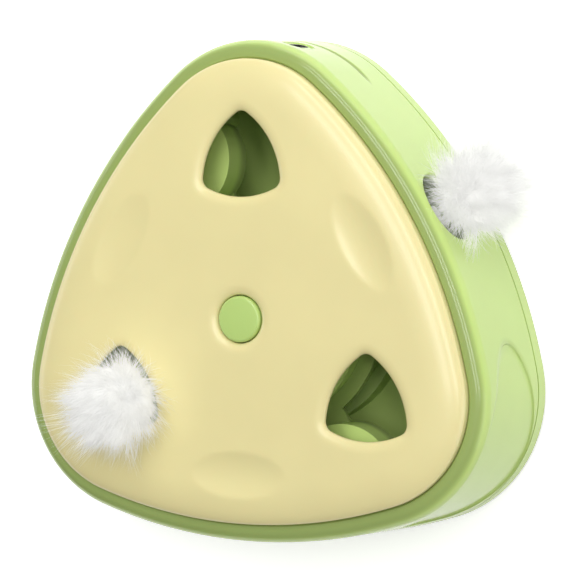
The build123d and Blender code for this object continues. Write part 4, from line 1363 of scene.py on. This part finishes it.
def photo_camera(sizes):
    """Camera at the photograph's view: the world is turned about Y, then X, then Z into the camera's axes."""
    view = Matrix.Rotation(sizes.roll, 3, "Z") @ Matrix.Rotation(sizes.pitch, 3, "X")
    view = view @ Matrix.Rotation(-sizes.yaw, 3, "Y")
    data = bpy.data.cameras.new("view")
    data.lens = sizes.lens
    data.sensor_width = sizes.sensor
    data.clip_end = sizes.sight
    camera = bpy.data.objects.new("view", data)
    middle = view.transposed() @ Vector((sizes.across, sizes.upwards, sizes.distance))
    middle.z += sizes.aim_height
    camera.matrix_world = Matrix.Translation(middle) @ view.transposed().to_4x4()
    bpy.context.scene.collection.objects.link(camera)
    bpy.context.scene.camera = camera


def studio_world(sizes):
    """Soft light from all round, brighter towards the image's upper right. The camera itself sees white."""
    nodes = Nodes(bpy.data.worlds.new("studio"), "Background")
    toward = nodes.add("ShaderNodeVectorMath", {"operation": "DOT_PRODUCT"})
    toward.inputs[1].default_value = Vector(sizes.bright_side).normalized()
    nodes.link(toward, 0, nodes.places("Generated"))
    level = nodes.add(
        "ShaderNodeMapRange", Value=toward.outputs["Value"], From_Min=-1,
        To_Min=sizes.world_dim, To_Max=sizes.world_bright,
    )
    seen = nodes.add("ShaderNodeLightPath").outputs["Is Camera Ray"]
    strength = nodes.add("ShaderNodeMix", Factor=seen, A=level.outputs["Result"], B=1)
    return nodes.set(Color=(1, 1, 1, 1), Strength=strength.outputs["Result"])


# Operators

class CATTOY_OT_cover(Operator):
    """Make the cream cover with its holes, lips and dimples"""

    bl_idname = "cattoy.cover"
    bl_label = "Cream Cover"

    def execute(self, context):
        scene = context.scene
        looks = scene.cattoy_finishes
        cream = moulded("cream_moulded", looks, looks.shell_scatter)
        dress(cover_shell(scene.cattoy_body, scene.cattoy_cover), "body", "cream_plastic", cream, "top_cover")
        return {"FINISHED"}


class CATTOY_OT_housing(Operator):
    """Make the green housing with its openings, panels, groove and port"""

    bl_idname = "cattoy.housing"
    bl_label = "Green Housing"

    def execute(self, context):
        body = context.scene.cattoy_body
        sizes = context.scene.cattoy_wall
        looks = context.scene.cattoy_finishes
        green = moulded("green_moulded", looks, looks.shell_scatter, looks.housing_gleam)
        # Painted shade on the rim's band, darker towards the rim's top.
        start = body.body_height - body.rim_round * looks.band_start
        stop = body.body_height - body.rim_round * looks.band_stop
        paint_shade_by_height(green, start, stop, looks.band_painted_shade)
        # Painted shade in the groove, at panel edges and at the parting line.
        paint_cavity_shade(green, looks.cavity_painted_shade)
        dress(housing_shell(body, sizes), "body", "green_plastic", green, "upper_housing")
        dress(port_bezel(body, sizes), "body", "black_plastic", moulded("bezel_moulded", looks))
        return {"FINISHED"}


class CATTOY_OT_button(Operator):
    """Make the round button"""

    bl_idname = "cattoy.button"
    bl_label = "Button"

    def execute(self, context):
        looks = context.scene.cattoy_finishes
        green = moulded("button_moulded", looks, looks.shell_scatter)
        dress(button_shell(context.scene.cattoy_button), "button", "button_plastic", green, "power_button")
        return {"FINISHED"}


class CATTOY_OT_teasers(Operator):
    """Make the fur teasers and their soft stems"""

    bl_idname = "cattoy.teasers"
    bl_label = "Fur Teasers"

    def execute(self, context):
        sizes = context.scene.cattoy_fur
        looks = context.scene.cattoy_finishes
        fur = fur_finish("white_fur", looks)
        rubber = rubbery("soft_stem", looks)
        draw = np.random.default_rng(sizes.seed)
        strands = sizes.strands
        teasers = (("face", face_teaser, sizes.face_comb), ("side", side_teaser, sizes.side_comb))
        for name, teaser, comb in teasers:
            middle, start, stop = teaser(sizes)
            stem = soft_stem(name + "_soft_stem", start, stop, sizes.stem_radius, sizes.stem_collar)
            dress(stem, "turret", "soft_stem", rubber, name + "_stem")
            tufts = unit(draw.normal(size=(sizes.tufts, 3)))
            pad = fur_pad(name + "_fur_pad", middle, sizes.core_radius)
            dress(pad, "turret", "white_fur", fur, name + "_pompom")
            for layer in range(sizes.layers):
                paths = strand_paths(draw, sizes, strands, middle, tufts, np.array(comb))
                made = strand_mesh(draw, f"{name}_fur_{layer + 1}", paths, sizes.strand_radius)
                dress(made, "turret", "white_fur", fur)
        return {"FINISHED"}


class CATTOY_OT_finishes(Operator):
    """Give the parts that show as they are their finishes"""

    bl_idname = "cattoy.finishes"
    bl_label = "Finishes"

    def execute(self, context):
        looks = context.scene.cattoy_finishes
        finishes = {
            "green_plastic": moulded("base_moulded", looks),
            "inner_plastic": moulded("inner_moulded", looks),
            "white_plastic": moulded("white_moulded", looks),
            "black_plastic": moulded("black_moulded", looks),
            "circuit_board": board_mask("solder_mask", looks),
            "cell_wrap": moulded("cell_wrap", looks),
            "steel": brushed("steel", looks),
            "brass": brushed("brass", looks),
            "rubber": rubbery("foot_rubber", looks),
        }
        seen_inside = {
            # The rotor, ring and pod finishes carry painted light.
            "rotor_plate": moulded("rotor_moulded", looks),
            "retaining_ring": moulded("ring_moulded", looks),
            "centre_pod": moulded("pod_moulded", looks),
            # Painted shade: the charging socket's steel is near black, as the shade deep in the slot.
            "usb_socket": brushed("dark_steel", looks),
        }
        # Painted shade along the base's lowest edge, darker towards the floor.
        floor = CAD_BOX[0].z
        foot = finishes["green_plastic"]
        paint_shade_by_height(foot, floor + looks.foot_start, floor + looks.foot_stop, looks.foot_painted_shade)
        # Painted shade on the rotor plate's low parts.
        low, high = (corner.z for corner in ROTOR_BOX)
        start = low + (high - low) * looks.deep_start
        stop = low + (high - low) * looks.deep_stop
        paint_shade_by_height(seen_inside["rotor_plate"], start, stop, looks.deep_painted_shade)
        for part in frame["record"]["subparts"]:
            node = frame["nodes"][part["node"]]
            if not node.hide_render:
                finish = seen_inside.get(part["node"]) or finishes[part["material_slot"]]
                node.data.materials.clear()
                node.data.materials.append(finish)
        return {"FINISHED"}


class CATTOY_OT_stage(Operator):
    """Make the floor, the lamps, the world and the camera"""

    bl_idname = "cattoy.stage"
    bl_label = "Stage"

    def execute(self, context):
        scene = context.scene
        sizes = scene.cattoy_stage
        pale_floor(sizes)
        for name, lamp in STRIP_LAMPS.items():
            strip_lamp(name, *lamp)
        for name, lamp in BOX_LAMPS.items():
            box_lamp(name, *lamp)
        scene.world = studio_world(sizes)
        scene.view_settings.view_transform = "Standard"
        photo_camera(sizes)
        return {"FINISHED"}


class CATTOY_PT_looks(Panel):
    """Lists the pieces of the cat toy and their sizes"""

    bl_idname = "CATTOY_PT_looks"
    bl_label = "Cat Toy"
    bl_space_type = "VIEW_3D"
    bl_region_type = "UI"
    bl_category = "Cat Toy"

    def draw(self, context):
        for operator in OPERATORS:
            self.layout.operator(operator.bl_idname)
        for name, group in GROUPS.items():
            box = self.layout.box()
            box.label(text=group.__doc__)
            for key in group.__annotations__:
                box.prop(getattr(context.scene, name), key)


GROUPS = {
    "cattoy_body": BodySizes,
    "cattoy_cover": CoverSizes,
    "cattoy_wall": WallSizes,
    "cattoy_button": ButtonSizes,
    "cattoy_fur": FurSizes,
    "cattoy_finishes": Finishes,
    "cattoy_stage": StageSizes,
}
OPERATORS = (
    CATTOY_OT_cover, CATTOY_OT_housing, CATTOY_OT_button,
    CATTOY_OT_teasers, CATTOY_OT_finishes, CATTOY_OT_stage,
)


def register():
    """Registers the classes and hangs the sizes on the scene."""
    for made in (*GROUPS.values(), *OPERATORS, CATTOY_PT_looks):
        bpy.utils.register_class(made)
    for name, group in GROUPS.items():
        setattr(bpy.types.Scene, name, PointerProperty(type=group))


def unregister():
    """Takes the sizes off the scene and unregisters the classes."""
    for name in GROUPS:
        delattr(bpy.types.Scene, name)
    for made in (CATTOY_PT_looks, *reversed(OPERATORS), *GROUPS.values()):
        bpy.utils.unregister_class(made)


def main():
    """Registers the add-on and makes every piece."""
    register()
    bpy.ops.cattoy.cover()
    bpy.ops.cattoy.housing()
    bpy.ops.cattoy.button()
    bpy.ops.cattoy.teasers()
    bpy.ops.cattoy.finishes()
    bpy.ops.cattoy.stage()


if __name__ == "__main__":
    main()
